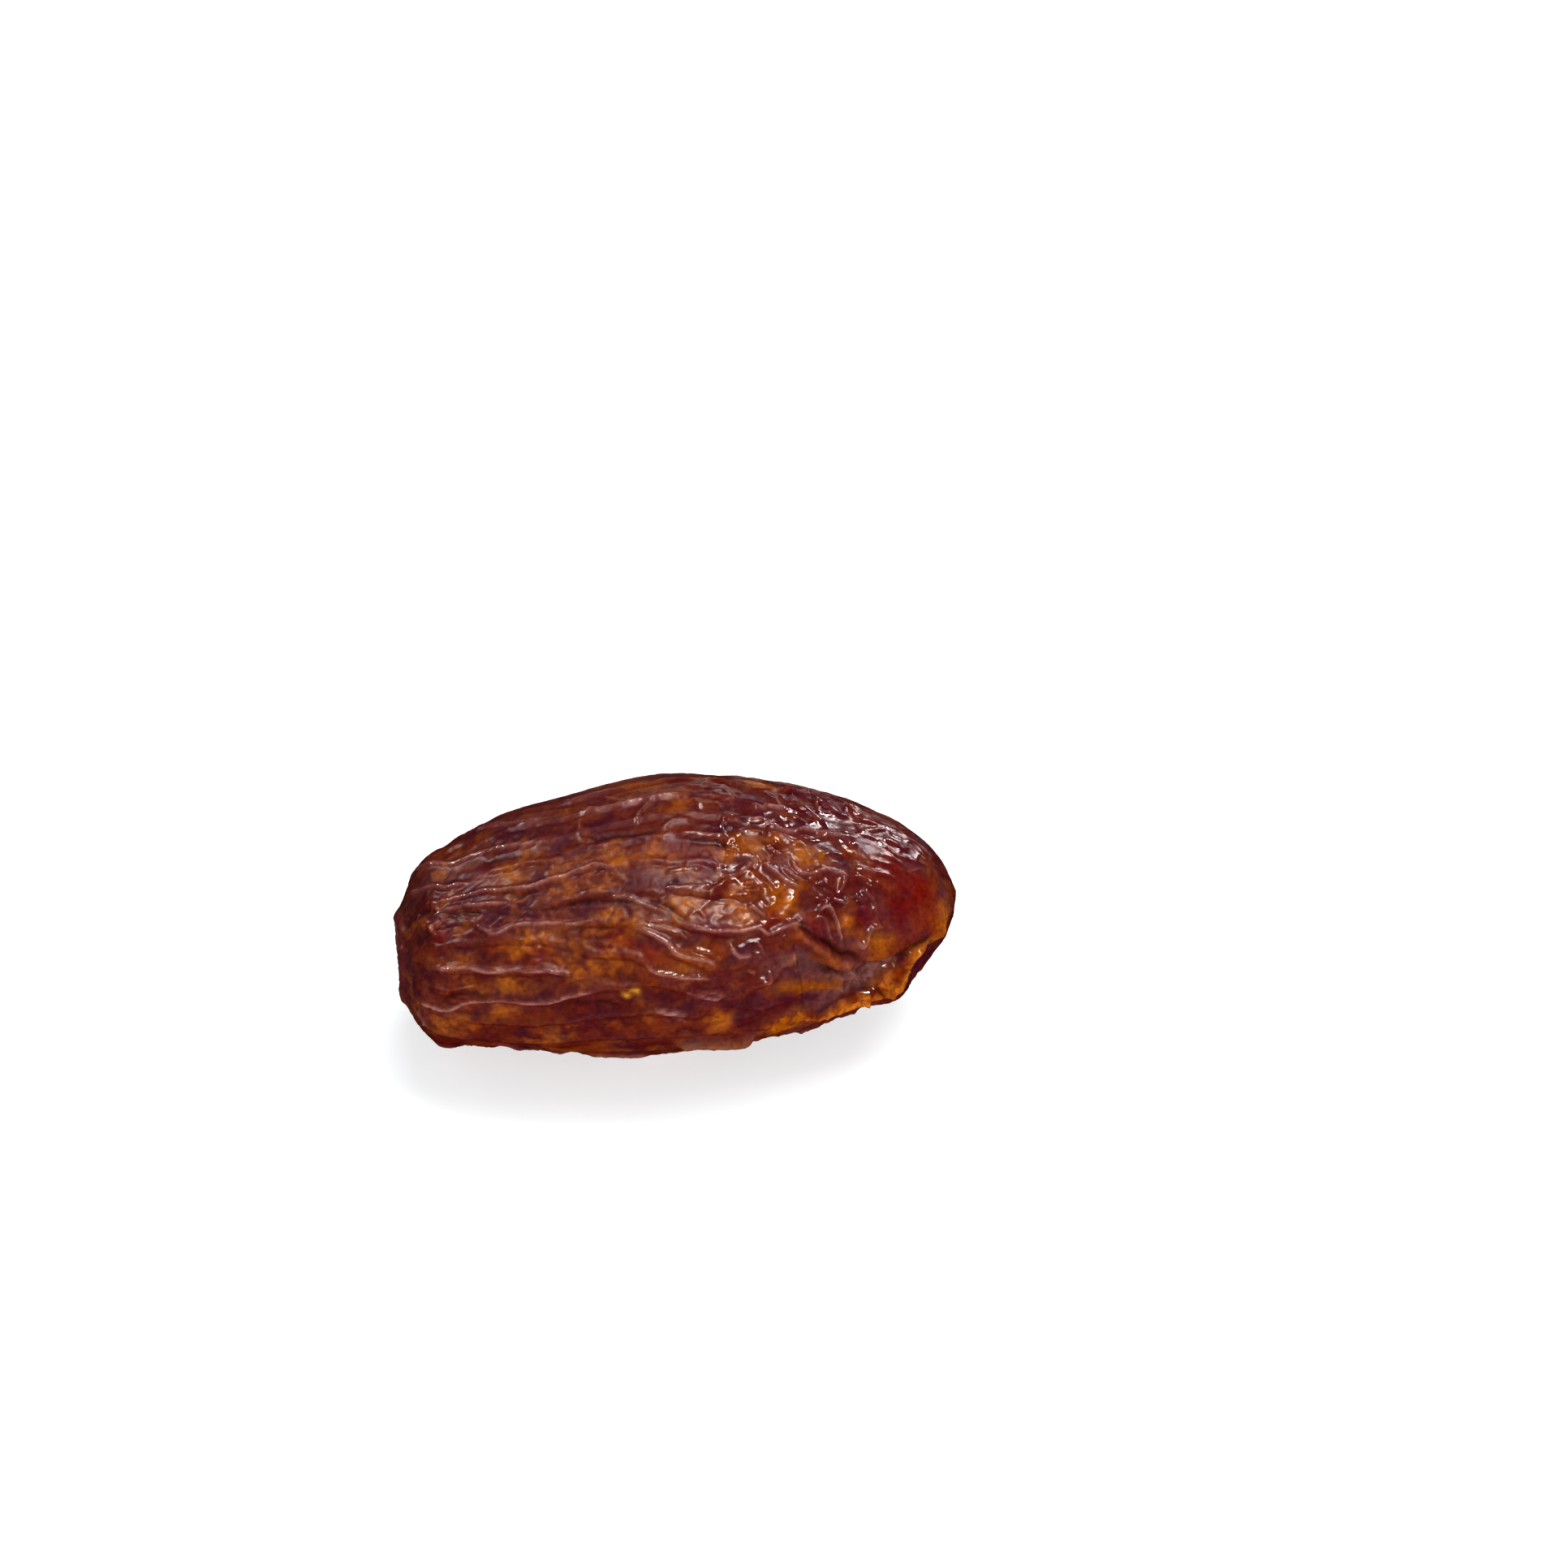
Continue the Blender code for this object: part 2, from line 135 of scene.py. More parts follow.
bpy.ops.object.select_all(action="DESELECT")
bpy.ops.mesh.primitive_uv_sphere_add(
    segments=GIRTH_STEPS, ring_count=LENGTH_STEPS, radius=1.0, rotation=(0, math.pi / 2, 0)
)
skin = bpy.context.object
skin.name = skin.data.name = "date_skin"
bpy.ops.object.transform_apply(location=False, rotation=True, scale=False)
finer = skin.modifiers.new("finer", "SUBSURF")
finer.subdivision_type = "SIMPLE"
finer.levels = finer.render_levels = SPLITS
bpy.ops.object.modifier_apply(modifier=finer.name)
sphere = np.empty(len(skin.data.vertices) * 3, np.float32)
skin.data.vertices.foreach_get("co", sphere)
sphere = unit(sphere.reshape(-1, 3).astype(float))
polar = np.arccos(np.clip(-sphere[:, 0], -1, 1))
polar = polar + FINER_MIDDLE * np.sin(2 * polar) + FINER_TIP_HALF * np.sin(polar)
round_angle = np.arctan2(-sphere[:, 1], sphere[:, 2])
round_angle = round_angle - FINER_FRONT * np.sin(round_angle - FRONT)
along = np.clip((1 - np.cos(polar)) / 2, 0, 1)
turn = (np.degrees(round_angle) + 180) % 360 - 180
body = body_points(along, round_angle)
outward, tipward, roundward = skin_directions(along, round_angle)

# Long folds. The skin is too big for the dried flesh, so it lies in folds from end to end that fork, join and turn
# curly near the tip. Patches of skin take their folds from known crests or fall in with their neighbours.
FOLD_SPACING = 0.0028
SPACING_POWER = 0.6
LEAST_SPACING = 0.15
FOLD_HEIGHT = 0.00025
FOLD_SHARPNESS = 2.6
FOLD_MEAN = 0.2
UNDER_FOLD_DEPTH = 0.35
UNDER_FOLD_AT, UNDER_FOLD_WIDTH = 1.15, 0.4
FOLD_FADE = (0.1, 0.6)
PATCH_SIZE = 0.0024
PATCH_STEP = 0.0016
PATCH_RINGS = 38
PATCH_JITTER = 0.3
FEWEST_PATCHES = 4
PATCH_REACH = 3 * PATCH_SIZE
SETTLING_ROUNDS = 40
STRAIGHT_SWING = 0.12
CURLY_SWING = 0.45
CURLY_FROM = 0.58
SWING_WAVES = ((330.0, 410.0, 260.0), (-520.0, 300.0, 480.0))
SWING_SHIFTS = (1.0, 2.0)
SEED = 11
CRESTS = (
    ((0.03, -40), (0.05, -33), (0.10, -14), (0.15, -10), (0.20, -5), (0.25, -1), (0.30, 1)),
    ((0.11, -45), (0.15, -38), (0.18, -30), (0.20, -26), (0.25, -17), (0.29, -14)),
    ((0.03, -20), (0.05, -8), (0.08, 0), (0.10, 3), (0.14, 4)),
    ((0.05, 8), (0.10, 12), (0.15, 14), (0.20, 18.5), (0.25, 20.5), (0.30, 19), (0.355, 17), (0.40, 26)),
    ((0.06, 17), (0.10, 18), (0.15, 22), (0.20, 27)),
    ((0.13, 31), (0.165, 41), (0.20, 39), (0.25, 40.5), (0.30, 43), (0.34, 42)),
    ((0.05, 57), (0.10, 57.5), (0.15, 62), (0.20, 63), (0.25, 66), (0.30, 69)),
    ((0.035, 84), (0.05, 86), (0.09, 85), (0.14, 81), (0.20, 82.5), (0.25, 81.5), (0.30, 78), (0.355, 76.5)),
    ((0.035, 95), (0.045, 98), (0.05, 103)),
    ((0.30, -28), (0.35, -24), (0.38, -25), (0.43, -28)),
    ((0.33, -12), (0.36, -11), (0.40, -10), (0.45, -10.5), (0.50, -10), (0.535, -9)),
    ((0.475, 6), (0.50, 3), (0.525, 3)),
    ((0.505, 9.5), (0.53, 10.5), (0.56, 11.5), (0.58, 13)),
    ((0.37, 33), (0.39, 34), (0.42, 38), (0.46, 43.5)),
    ((0.465, 32), (0.49, 33), (0.52, 33.5), (0.55, 33)),
    ((0.405, 48), (0.43, 51), (0.46, 56.5), (0.48, 62), (0.52, 65.5), (0.55, 69)),
    ((0.47, 48), (0.525, 52), (0.59, 54), (0.615, 53.5), (0.64, 57), (0.68, 53.5), (0.71, 57), (0.735, 67)),
    ((0.415, 64), (0.44, 69.5), (0.475, 72), (0.52, 73), (0.54, 75.5)),
    ((0.485, 79), (0.52, 83), (0.55, 84)),
    ((0.43, 87), (0.455, 88), (0.495, 90)),
    ((0.635, -5), (0.655, -3), (0.68, -4), (0.705, -3.5)),
    ((0.605, 5), (0.63, 4), (0.665, 5), (0.685, 7.5), (0.705, 8.5), (0.735, 6), (0.79, 6.5), (0.83, 4.5)),
    ((0.69, 21.5), (0.70, 27), (0.72, 29.5), (0.75, 28), (0.78, 29.5), (0.783, 33.5), (0.772, 41)),
    ((0.645, 23), (0.65, 28), (0.68, 33.5), (0.70, 37)),
    ((0.605, 43), (0.635, 49)),
    ((0.805, 23.5), (0.835, 26.5), (0.875, 30), (0.90, 36), (0.88, 39), (0.855, 36.5)),
    ((0.81, 37), (0.832, 45), (0.835, 56.5), (0.84, 61)),
    ((0.725, 48.5), (0.745, 47), (0.757, 53), (0.765, 62), (0.77, 66)),
    ((0.79, 63.5), (0.805, 69.5), (0.825, 62), (0.845, 61), (0.88, 63.5)),
    ((0.57, 60), (0.58, 65), (0.605, 65.5)),
)
FAR_CRESTS = (
    ((0.66, -146), (0.70, -141), (0.75, -143), (0.79, -137), (0.84, -140)),
    ((0.69, -130), (0.73, -124), (0.78, -128), (0.82, -121), (0.88, -125), (0.91, -119)),
    ((0.67, -116), (0.71, -111), (0.76, -114), (0.80, -107), (0.85, -110)),
    ((0.73, -101), (0.77, -97), (0.81, -101), (0.86, -94), (0.90, -97)),
    ((0.70, -88), (0.74, -83), (0.79, -87), (0.83, -80), (0.88, -84)),
    ((0.90, -60), (0.93, -75), (0.92, -95)),
)
FAR_COPY = (0.03, 0.94, 160, 1)
FOLDED_COPY = (0.04, 0.92, -92, -1)
FOLDED_BELOW = 8
CREST_HEIGHT = 0.00031
CREST_WIDTH = 0.00021
CURLY_CREST_GAIN = 0.5
FAR_WIDTH = 0.00042
BAND_WIDTH = 0.0007
CREST_HOLD = 0.0012
LINE_STEPS = 6
LINE_REACH = 4
LINE_END_SHARE = 0.15
LINE_END_HEIGHT = 0.15


def moved(lines, start, span, shift, way):
    """Copies of the lines with every place moved to start + span * along, shift + way * turn."""
    return tuple(
        tuple((start + span * along, shift + way * turn) for along, turn in places) for places in lines
    )


def on_far_side(lines):
    """Copies of the lines turned round to the far side, and of the high ones folded over the top."""
    high = [places for places in lines if max(turn for _, turn in places) < FOLDED_BELOW]
    return moved(lines, *FAR_COPY) + moved(high, *FOLDED_COPY)


def route(places):
    """Closely spaced points of a smooth line over the body through the given places."""
    knots = range(len(places))
    steps = np.linspace(0, len(places) - 1, (len(places) - 1) * LINE_STEPS + 1)
    line_along = smooth_through(steps, knots, [place[0] for place in places])
    line_turn = smooth_through(steps, knots, [place[1] for place in places])
    return body_points(line_along, np.radians(line_turn))


def distance_to(line, points, reach):
    """How far each point is from the line, up to the reach, and how far down the line its nearest place is."""
    nearest, down = np.full(len(points), reach), np.zeros(len(points))
    inside = ((points > line.min(axis=0) - reach) & (points < line.max(axis=0) + reach)).all(axis=1)
    chosen = np.flatnonzero(inside)
    for number, (start, step) in enumerate(zip(line[:-1], np.diff(line, axis=0))):
        away = points[chosen] - start
        share = np.clip(away @ step / (step @ step), 0, 1)
        distance = np.linalg.norm(away - share[:, None] * step, axis=1)
        closer = distance < nearest[chosen]
        nearest[chosen[closer]] = distance[closer]
        down[chosen[closer]] = number + share[closer]
    return nearest, down / (len(line) - 1)


def at_least(lowest, share):
    """A share from 0 to 1, made to start from the lowest."""
    return lowest + (1 - lowest) * share


def raised_line(places, points, width):
    """A ridge of height 1 along the places, lower at both its ends."""
    distance, down = distance_to(route(places), points, LINE_REACH * width)
    ends = smooth_step(down, 0, LINE_END_SHARE) * smooth_step(1 - down, 0, LINE_END_SHARE)
    return bump(distance, width) * at_least(LINE_END_HEIGHT, ends)


def raised_lines(points, *groups):
    """The highest at each point of many ridges, given as groups of lines with the width of their ridges."""
    highest = np.zeros(len(points))
    for lines, width in groups:
        for places in lines:
            highest = np.maximum(highest, raised_line(places, points, width))
    return highest


far_crests = on_far_side(CRESTS) + FAR_CRESTS


def patch_places(chance):
    """Where the patches of skin lie: rings of them, from end to end, a little out of line."""
    alongs, turns = [], []
    for ring in range(PATCH_RINGS):
        ring_polar = math.pi * (ring + 0.5) / PATCH_RINGS
        count = max(FEWEST_PATCHES, round(math.pi * WIDEST * math.sin(ring_polar) / PATCH_STEP))
        aside = chance.uniform(-PATCH_JITTER, PATCH_JITTER, (2, count))
        turns.append(2 * math.pi * (np.arange(count) + 0.5 * (ring % 2) + aside[0]) / count)
        alongs.append((1 - np.cos(ring_polar + aside[1] * math.pi / PATCH_RINGS)) / 2)
    return np.concatenate(alongs), np.concatenate(turns)


def fold_patches():
    """The patches of skin: where they are, which way their folds run, and where in a fold they start."""
    chance = np.random.default_rng(SEED)
    patch_along, patch_turn = patch_places(chance)
    site = body_points(patch_along, patch_turn)
    site_outward, site_tipward, site_roundward = skin_directions(patch_along, patch_turn)
    off_axis = np.hypot(site[:, 1], site[:, 2] - AXIS_HEIGHT)
    spacing = FOLD_SPACING * np.clip(2 * off_axis / WIDEST, LEAST_SPACING, 1) ** SPACING_POWER
    wander = sum(np.sin(site @ wave + shift) for wave, shift in zip(SWING_WAVES, SWING_SHIFTS))
    swing = wander * np.where(patch_along > CURLY_FROM, CURLY_SWING, STRAIGHT_SWING)
    pace = (2 * math.pi / spacing)[:, None]
    wave = pace * (np.cos(swing)[:, None] * site_roundward + np.sin(swing)[:, None] * site_tipward)
    state = np.exp(1j * chance.uniform(0, 2 * math.pi, len(site)))
    held = np.full(len(site), CREST_HOLD)
    for places in CRESTS + far_crests:
        line = route(places)
        distance, down = distance_to(line, site, CREST_HOLD)
        close = np.flatnonzero(distance < held)
        held[close] = distance[close]
        before = np.minimum((down[close] * (len(line) - 1)).astype(int), len(line) - 2)
        across = unit(np.cross(site_outward[close], line[before + 1] - line[before]))
        across = across * np.where((across * site_roundward[close]).sum(axis=1) < 0, -1, 1)[:, None]
        wave[close] = pace[close] * across
        state[close] = np.exp(1j * (wave[close] * (site[close] - line[before])).sum(axis=1))
    apart = site[:, None] - site[None]
    nearness = np.exp(-(apart**2).sum(axis=2) / (4 * PATCH_SIZE**2))
    pull = nearness * np.exp(0.5j * ((wave[:, None] + wave[None]) * apart).sum(axis=2))
    for _ in range(SETTLING_ROUNDS):
        pulled = pull @ state
        state = np.where(held < CREST_HOLD, state, pulled / np.abs(pulled))
    return site, wave, state


def fold_heights(points):
    """The skin's folds at points of the smooth body: 1 on a crest, and near 0 in the hollow between two. The
    second result is 1 in the narrow crease along the lower side of a crest."""
    field, shares = np.zeros(len(points), complex), np.zeros(len(points))
    order = np.argsort(points[:, 0])
    ordered = points[order, 0]
    for site, wave, state in zip(*fold_patches()):
        first, last = np.searchsorted(ordered, (site[0] - PATCH_REACH, site[0] + PATCH_REACH))
        near = order[first:last]
        apart = points[near] - site
        share = np.exp(-(apart**2).sum(axis=1) / (2 * PATCH_SIZE**2))
        field[near] += share * state * np.exp(1j * (apart @ wave))
        shares[near] += share
    turned = np.angle(field)
    strength = smooth_step(np.abs(field) / shares, *FOLD_FADE)
    under = bump(turned - UNDER_FOLD_AT, UNDER_FOLD_WIDTH)
    return np.exp(FOLD_SHARPNESS * (np.cos(turned) - 1)) * strength, under * strength


FINE_CRESTS = (
    ((0.04, 15), (0.055, 22), (0.065, 30), (0.075, 35)),
    ((0.06, 70), (0.10, 72), (0.13, 70)),
    ((0.38, -24), (0.40, -16), (0.42, -13), (0.435, -9)),
    ((0.52, -9), (0.54, -7), (0.545, -3), (0.54, -1)),
    ((0.36, -11), (0.34, -8), (0.334, -3), (0.338, 3), (0.36, 4)),
    ((0.47, -10), (0.45, -6), (0.438, -2), (0.43, 2)),
    ((0.465, 10), (0.48, 9), (0.50, 8)),
    ((0.31, 5), (0.33, 6), (0.35, 7), (0.385, 8.5)),
    ((0.295, 14), (0.31, 13), (0.35, 14), (0.36, 13)),
    ((0.32, 28), (0.34, 28), (0.36, 28)),
    ((0.47, 26), (0.49, 25), (0.51, 25), (0.53, 26)),
    ((0.54, 39), (0.55, 35), (0.565, 33), (0.575, 32)),
    ((0.425, 46), (0.445, 46.5), (0.46, 46.5)),
    ((0.405, 48), (0.42, 47), (0.45, 50), (0.475, 52.5), (0.49, 53.5), (0.497, 56)),
    ((0.505, 60), (0.52, 62), (0.54, 64), (0.55, 66)),
    ((0.50, 80), (0.535, 81), (0.555, 84)),
    ((0.455, 90.5), (0.47, 91), (0.49, 92.5)),
    ((0.71, -12), (0.725, -11), (0.73, -9), (0.735, -6)),
    ((0.70, -19), (0.72, -21), (0.745, -23), (0.757, -17), (0.76, -12), (0.76, -5)),
    ((0.60, 1), (0.585, 3), (0.58, 8), (0.585, 12)),
    ((0.605, 8), (0.63, 9), (0.65, 9.5)),
    ((0.66, 8), (0.675, 9), (0.69, 12), (0.70, 13.5), (0.725, 14.5)),
    ((0.65, 16), (0.66, 18.5), (0.67, 20.5), (0.69, 20)),
    ((0.67, 25.5), (0.68, 28), (0.69, 30.5), (0.705, 32), (0.72, 34.5)),
    ((0.73, 34), (0.745, 35), (0.75, 37.5)),
    ((0.605, 34), (0.612, 33.5), (0.62, 34)),
    ((0.60, 36.5), (0.615, 37), (0.63, 37.5)),
    ((0.635, 34), (0.645, 36), (0.65, 39)),
    ((0.803, 27.5), (0.82, 31), (0.83, 33), (0.84, 36.5), (0.848, 31.5)),
    ((0.757, 43), (0.765, 44), (0.783, 45), (0.79, 42), (0.805, 42), (0.815, 46), (0.815, 49), (0.797, 50)),
    ((0.73, 50), (0.74, 53), (0.742, 57.5), (0.745, 62), (0.75, 65.5)),
    ((0.61, 60), (0.62, 62.5), (0.625, 65), (0.625, 67)),
    ((0.595, 71.5), (0.605, 73), (0.615, 74)),
    ((0.635, 74), (0.635, 76.5), (0.63, 78.5), (0.615, 78)),
    ((0.81, -22), (0.83, -14), (0.852, -11)),
    ((0.825, -3), (0.835, -0.5), (0.87, -6), (0.88, -7)),
    ((0.87, 6), (0.88, 10), (0.895, 12.5), (0.93, 12.5), (0.945, 11)),
)
CRESTS_BY_TEAR = (
    ((0.86, 71), (0.885, 68), (0.92, 66.5), (0.95, 68), (0.965, 73)),
    ((0.90, 70), (0.93, 70), (0.955, 74.5)),
)
FINE_CREST_HEIGHT = 0.00019
FINE_CREST_WIDTH = 0.00017
CURLY_FINE_CREST_GAIN = 0.9
CREASES = (
    ((0.33, 1), (0.356, 3.5), (0.387, 4.5), (0.422, 5.5), (0.448, 6.5), (0.47, 6)),
    ((0.52, 12), (0.531, 13), (0.568, 14.5), (0.588, 16.5)),
    ((0.47, 32), (0.483, 30.5), (0.511, 33), (0.537, 32.5), (0.56, 32)),
    ((0.23, 33), (0.264, 34), (0.299, 33), (0.332, 33.5), (0.383, 35.7), (0.432, 38.7), (0.455, 40)),
    ((0.455, 40), (0.467, 41), (0.484, 45), (0.503, 49)),
    ((0.27, 86), (0.284, 84), (0.317, 83), (0.352, 83.5), (0.37, 87)),
    ((0.16, -3), (0.186, -0.7), (0.204, 0.5), (0.23, 2)),
    ((0.04, 10), (0.051, 12), (0.093, 21.5), (0.131, 25), (0.153, 27.5)),
    ((0.18, 20), (0.197, 21), (0.213, 24), (0.235, 23)),
    ((0.06, 80), (0.089, 77), (0.118, 76.5), (0.146, 78)),
)
CREASE_DEPTH = 0.00017
CREASE_WIDTH = 0.00022
FOLD_WARP = (0.0016, 0.00022, 5.1)


def grain(points, size, seed):
    """Smooth noise from about -1 to 1, with features of the given size. The seed picks one of many such noises."""
    return np.array([noise.noise(place) for place in points / size + seed])


def warped(points, size, reach, seed, lengthwise=1):
    """The points pushed about a little by smooth noise, so that what is drawn on them looks grown. Below 1,
    lengthwise makes it longer along the fruit."""
    pushes = [grain(points, size, seed + shift) for shift in (0.0, 17.3, 31.9)]
    return (points + reach * np.stack(pushes, axis=1)) * (lengthwise, 1, 1)


wavy = warped(body, *FOLD_WARP)
fold, under_fold = fold_heights(wavy)
crest = raised_lines(wavy, (CRESTS, CREST_WIDTH), (far_crests, FAR_WIDTH))
fine_crest = raised_lines(
    wavy, (FINE_CRESTS + CRESTS_BY_TEAR, FINE_CREST_WIDTH), (on_far_side(FINE_CRESTS), FAR_WIDTH)
)
crease = raised_lines(wavy, (CREASES, CREASE_WIDTH), (on_far_side(CREASES), FAR_WIDTH))
crest_band = raised_lines(wavy, (CRESTS + far_crests, BAND_WIDTH))

# Small blisters and puckers between the folds, where bits of flesh stuck to the skin as it shrank, and curls in the
# tip half, where the skin came away from the flesh. All of them are a little longer along the fruit than across.
CURLY_FADE = (0.42, 0.62)
STRETCHED_WARP = (0.0022, 0.0009, 3.1, 0.6)
BLISTER_SIZE = 0.00105
BLISTER_HEIGHT = 0.00009
BLISTER_MEAN = 0.7
BLISTER_EDGE = 0.35
BLISTER_LEAST = 0.3
BLISTER_WARP = (0.0009, 0.0004, 9.2, 0.8)
BLISTERED_SIZE = 0.0035
BLISTERED_FADE = (-0.25, 0.35)
PUCKER_SIZE = 0.0011
PUCKER_HEIGHT = 0.00007
PUCKER_MEAN = 0.3
CURLY_PUCKER_GAIN = 0.25
CURL_SIZE = 0.0024
CURL_HEIGHT = 0.00018
CURL_WARP = (0.0024, 0.0016, 44.1, 0.8)
CURL_TURNS = (-42, -12)
LUMP_SIZE = 0.0040
LUMP_HEIGHT = 0.00015
RIDGE_NARROWNESS = 2.4
SCATTER = (12.99, 78.23, 37.72)
SCATTER_GAIN = 437.58


def cells(points, size, seed):
    """Small cells of the given size: how far in each point is, 0 on the edge between two cells, and a shade from 0
    to 1 for each cell, scattered by where its middle lies."""
    gaps, middles = [], []
    for place in points / size + seed:
        near, sites = noise.voronoi(place)
        gaps.append(near[1] - near[0])
        middles.append(sites[0])
    shades = np.sin(np.array(middles) @ SCATTER) * SCATTER_GAIN
    return np.array(gaps), shades - np.floor(shades)


def narrow_ridges(points, size, seed):
    """Noise with narrow ridges: 1 on a ridge and 0 in the middle between ridges."""
    return 1 - np.minimum(np.abs(grain(points, size, seed)) * RIDGE_NARROWNESS, 1)


curly = smooth_step(along, *CURLY_FADE)
straight = 1 - curly
stretched = warped(body, *STRETCHED_WARP)
blister_gap, blister_shade = cells(warped(body, *BLISTER_WARP), BLISTER_SIZE, 4.4)
blister = smooth_step(blister_gap, 0.0, BLISTER_EDGE)
blistered = smooth_step(grain(body, BLISTERED_SIZE, 91.2), *BLISTERED_FADE)
pucker = narrow_ridges(stretched, PUCKER_SIZE, 21.4) ** 2
curl = narrow_ridges(warped(body, *CURL_WARP), CURL_SIZE, 63.2) ** 3 * curly * smooth_step(turn, *CURL_TURNS)
lump = grain(body, LUMP_SIZE, 40.2)

# Tear near the tip: the skin split there while the fruit was soft. Its upper edge dried as a flap that hangs over the
# gap, with a rope of skin running on from it; the lower lip dried turned out, and the flesh between them sank.
TORN_EDGE = (
    (0.679, 59), (0.698, 66.5), (0.731, 74), (0.758, 78), (0.787, 78.5), (0.808, 76), (0.837, 77), (0.859, 76.5),
    (0.885, 74), (0.908, 73), (0.935, 75), (0.957, 81),
)
LIP = (
    (0.960, 83), (0.930, 83.5), (0.907, 85), (0.895, 90), (0.888, 97), (0.872, 103), (0.842, 107), (0.800, 108),
    (0.765, 109), (0.730, 111), (0.700, 106), (0.684, 98),
)
LIP_INNER = (
    (0.955, 82), (0.925, 81.5), (0.902, 82), (0.886, 86), (0.870, 89.5), (0.852, 92), (0.834, 95), (0.816, 98),
    (0.791, 99.5), (0.766, 100), (0.749, 102.5), (0.725, 105), (0.700, 102),
)
TEAR_REACH = 0.006
TEAR_DEPTH = 0.0009
SHALLOW_SHARE = 0.3
DEEP_FROM, DEEP_TO = 0.70, 0.79
EDGE_DROP = 0.0005
FLAP_HEIGHT = 0.00055
FLAP_WIDTH = 0.0009
FLAP_UNDER_WIDTH = 0.00026
FLAP_HANG = 0.00055
LIP_RISE = 0.0007
LIP_HEIGHT = 0.00045
LIP_WIDTH = 0.00055
SLAB_HEIGHT = 0.00035
SLAB_EDGE = 0.00035
SLAB_LUMP_SIZE = 0.0016
SLAB_LUMP_HEIGHT = 0.00022
LIP_WARP = (0.0012, 0.0005, 61.0)
LIP_FULL_FROM = 0.2
LIP_FADE_FROM = 0.55
LIP_FADE = 0.75
RIB = ((0.47, 114), (0.50, 113), (0.54, 116), (0.58, 118), (0.615, 117))
RIB_HEIGHT = 0.0008
RIB_WIDTH = 0.0005
ROPE = ((0.670, 51), (0.688, 57.2), (0.708, 63.3), (0.735, 70.2), (0.763, 75.2), (0.790, 77))
ROPE_HEIGHT = 0.00042
ROPE_WIDTH = 0.00036
GROOVE = ((0.680, 49), (0.697, 54.2), (0.719, 60.5), (0.743, 66.5), (0.766, 71.2), (0.787, 73.3), (0.800, 75))
GROOVE_DEPTH = 0.00030
GROOVE_WIDTH = 0.00024
CREVICE_AT = 0.00062
CREVICE_DEPTH = 0.0009
CREVICE_WIDTH = 0.00035
CREVICE_END = (0.90, 0.94)
FLESH_SIZE = 0.0009
FLESH_HEIGHT = 0.00055
FLESH_MEAN = -0.6
FIBRE_SIZE = 0.0007
FIBRE_HEIGHT = 0.00030
FIBRE_WARP = (0.0012, 0.0006, 12.7, 0.7)
LIP_CRACK = ((0.826, 99), (0.833, 104), (0.841, 112))
LIP_CRACK_DEPTH = 0.0003
LIP_CRACK_WIDTH = 0.00015
LIP_WRINKLES = (
    ((0.925, 82.5), (0.905, 83.5), (0.892, 87.5), (0.880, 92)),
    ((0.896, 84), (0.880, 89), (0.866, 93), (0.850, 97)),
    ((0.848, 97), (0.845, 103), (0.852, 109)),
    ((0.815, 101), (0.808, 106), (0.812, 112)),
    ((0.828, 98.5), (0.812, 101), (0.790, 102), (0.765, 102)),
    ((0.880, 95), (0.868, 98), (0.855, 103)),
    ((0.760, 103), (0.745, 106), (0.730, 108)),
)
LIP_WRINKLE_HEIGHT = 0.00045
LIP_WRINKLE_WIDTH = 0.00022
SHALLOW_FOLD = ((0.636, 82), (0.675, 83.5), (0.713, 86.8), (0.745, 89), (0.779, 92))
SHALLOW_FOLD_HEIGHT = 0.0003
SHALLOW_FURROW = ((0.645, 88.5), (0.695, 92.5), (0.735, 97))
SHALLOW_FURROW_DEPTH = 0.0002
SHALLOW_WIDTH = 0.0006
BEADS = ((0.622, 106), (0.645, 110), (0.672, 106), (0.700, 111))
BEAD_SIZE = 0.0007
BEAD_HEIGHT = 0.00022
BEAD_EDGE = 0.5
BEADS_WIDTH = 0.0011


def within(outline, place_along, place_turn):
    """Which places lie inside a closed outline of places."""
    inside = np.zeros(len(place_along), bool)
    for (a, b), (c, d) in zip(outline, outline[1:] + outline[:1]):
        if b != d:
            crossed = place_along < a + (place_turn - b) * (c - a) / (d - b)
            inside ^= ((b > place_turn) != (d > place_turn)) & crossed
    return inside


from_edge = distance_to(route(TORN_EDGE), body, TEAR_REACH)[0]
from_inner = distance_to(route(LIP_INNER), body, TEAR_REACH)[0]
from_lip, down_lip = distance_to(route(LIP), body, TEAR_REACH)
in_tear = within(TORN_EDGE + LIP_INNER, along, turn)
in_lip = within(LIP_INNER[::-1] + LIP, along, turn)
deep = smooth_step(along, DEEP_FROM, DEEP_TO)
sunk = smooth_step(from_edge, 0, EDGE_DROP) * smooth_step(from_inner, 0, LIP_RISE) * in_tear
lip_share = smooth_step(down_lip, 0, LIP_FULL_FROM) * (1 - LIP_FADE * smooth_step(down_lip, LIP_FADE_FROM, 1))
flap = bump(from_edge, np.where(in_tear, FLAP_UNDER_WIDTH, FLAP_WIDTH)) * deep * ~in_lip
lip_ridge = bump(from_lip, LIP_WIDTH) * lip_share
slab = in_lip * smooth_step(from_inner, 0, SLAB_EDGE)
stretched_lip = warped(body, *LIP_WARP)
rope = raised_line(ROPE, wavy, ROPE_WIDTH)
groove = raised_line(GROOVE, wavy, GROOVE_WIDTH)
crevice = bump(from_edge - CREVICE_AT, CREVICE_WIDTH) * in_tear * deep * (1 - smooth_step(along, *CREVICE_END))
fleshy = sunk * deep
fibre = narrow_ridges(warped(body, *FIBRE_WARP), FIBRE_SIZE, 8.8)
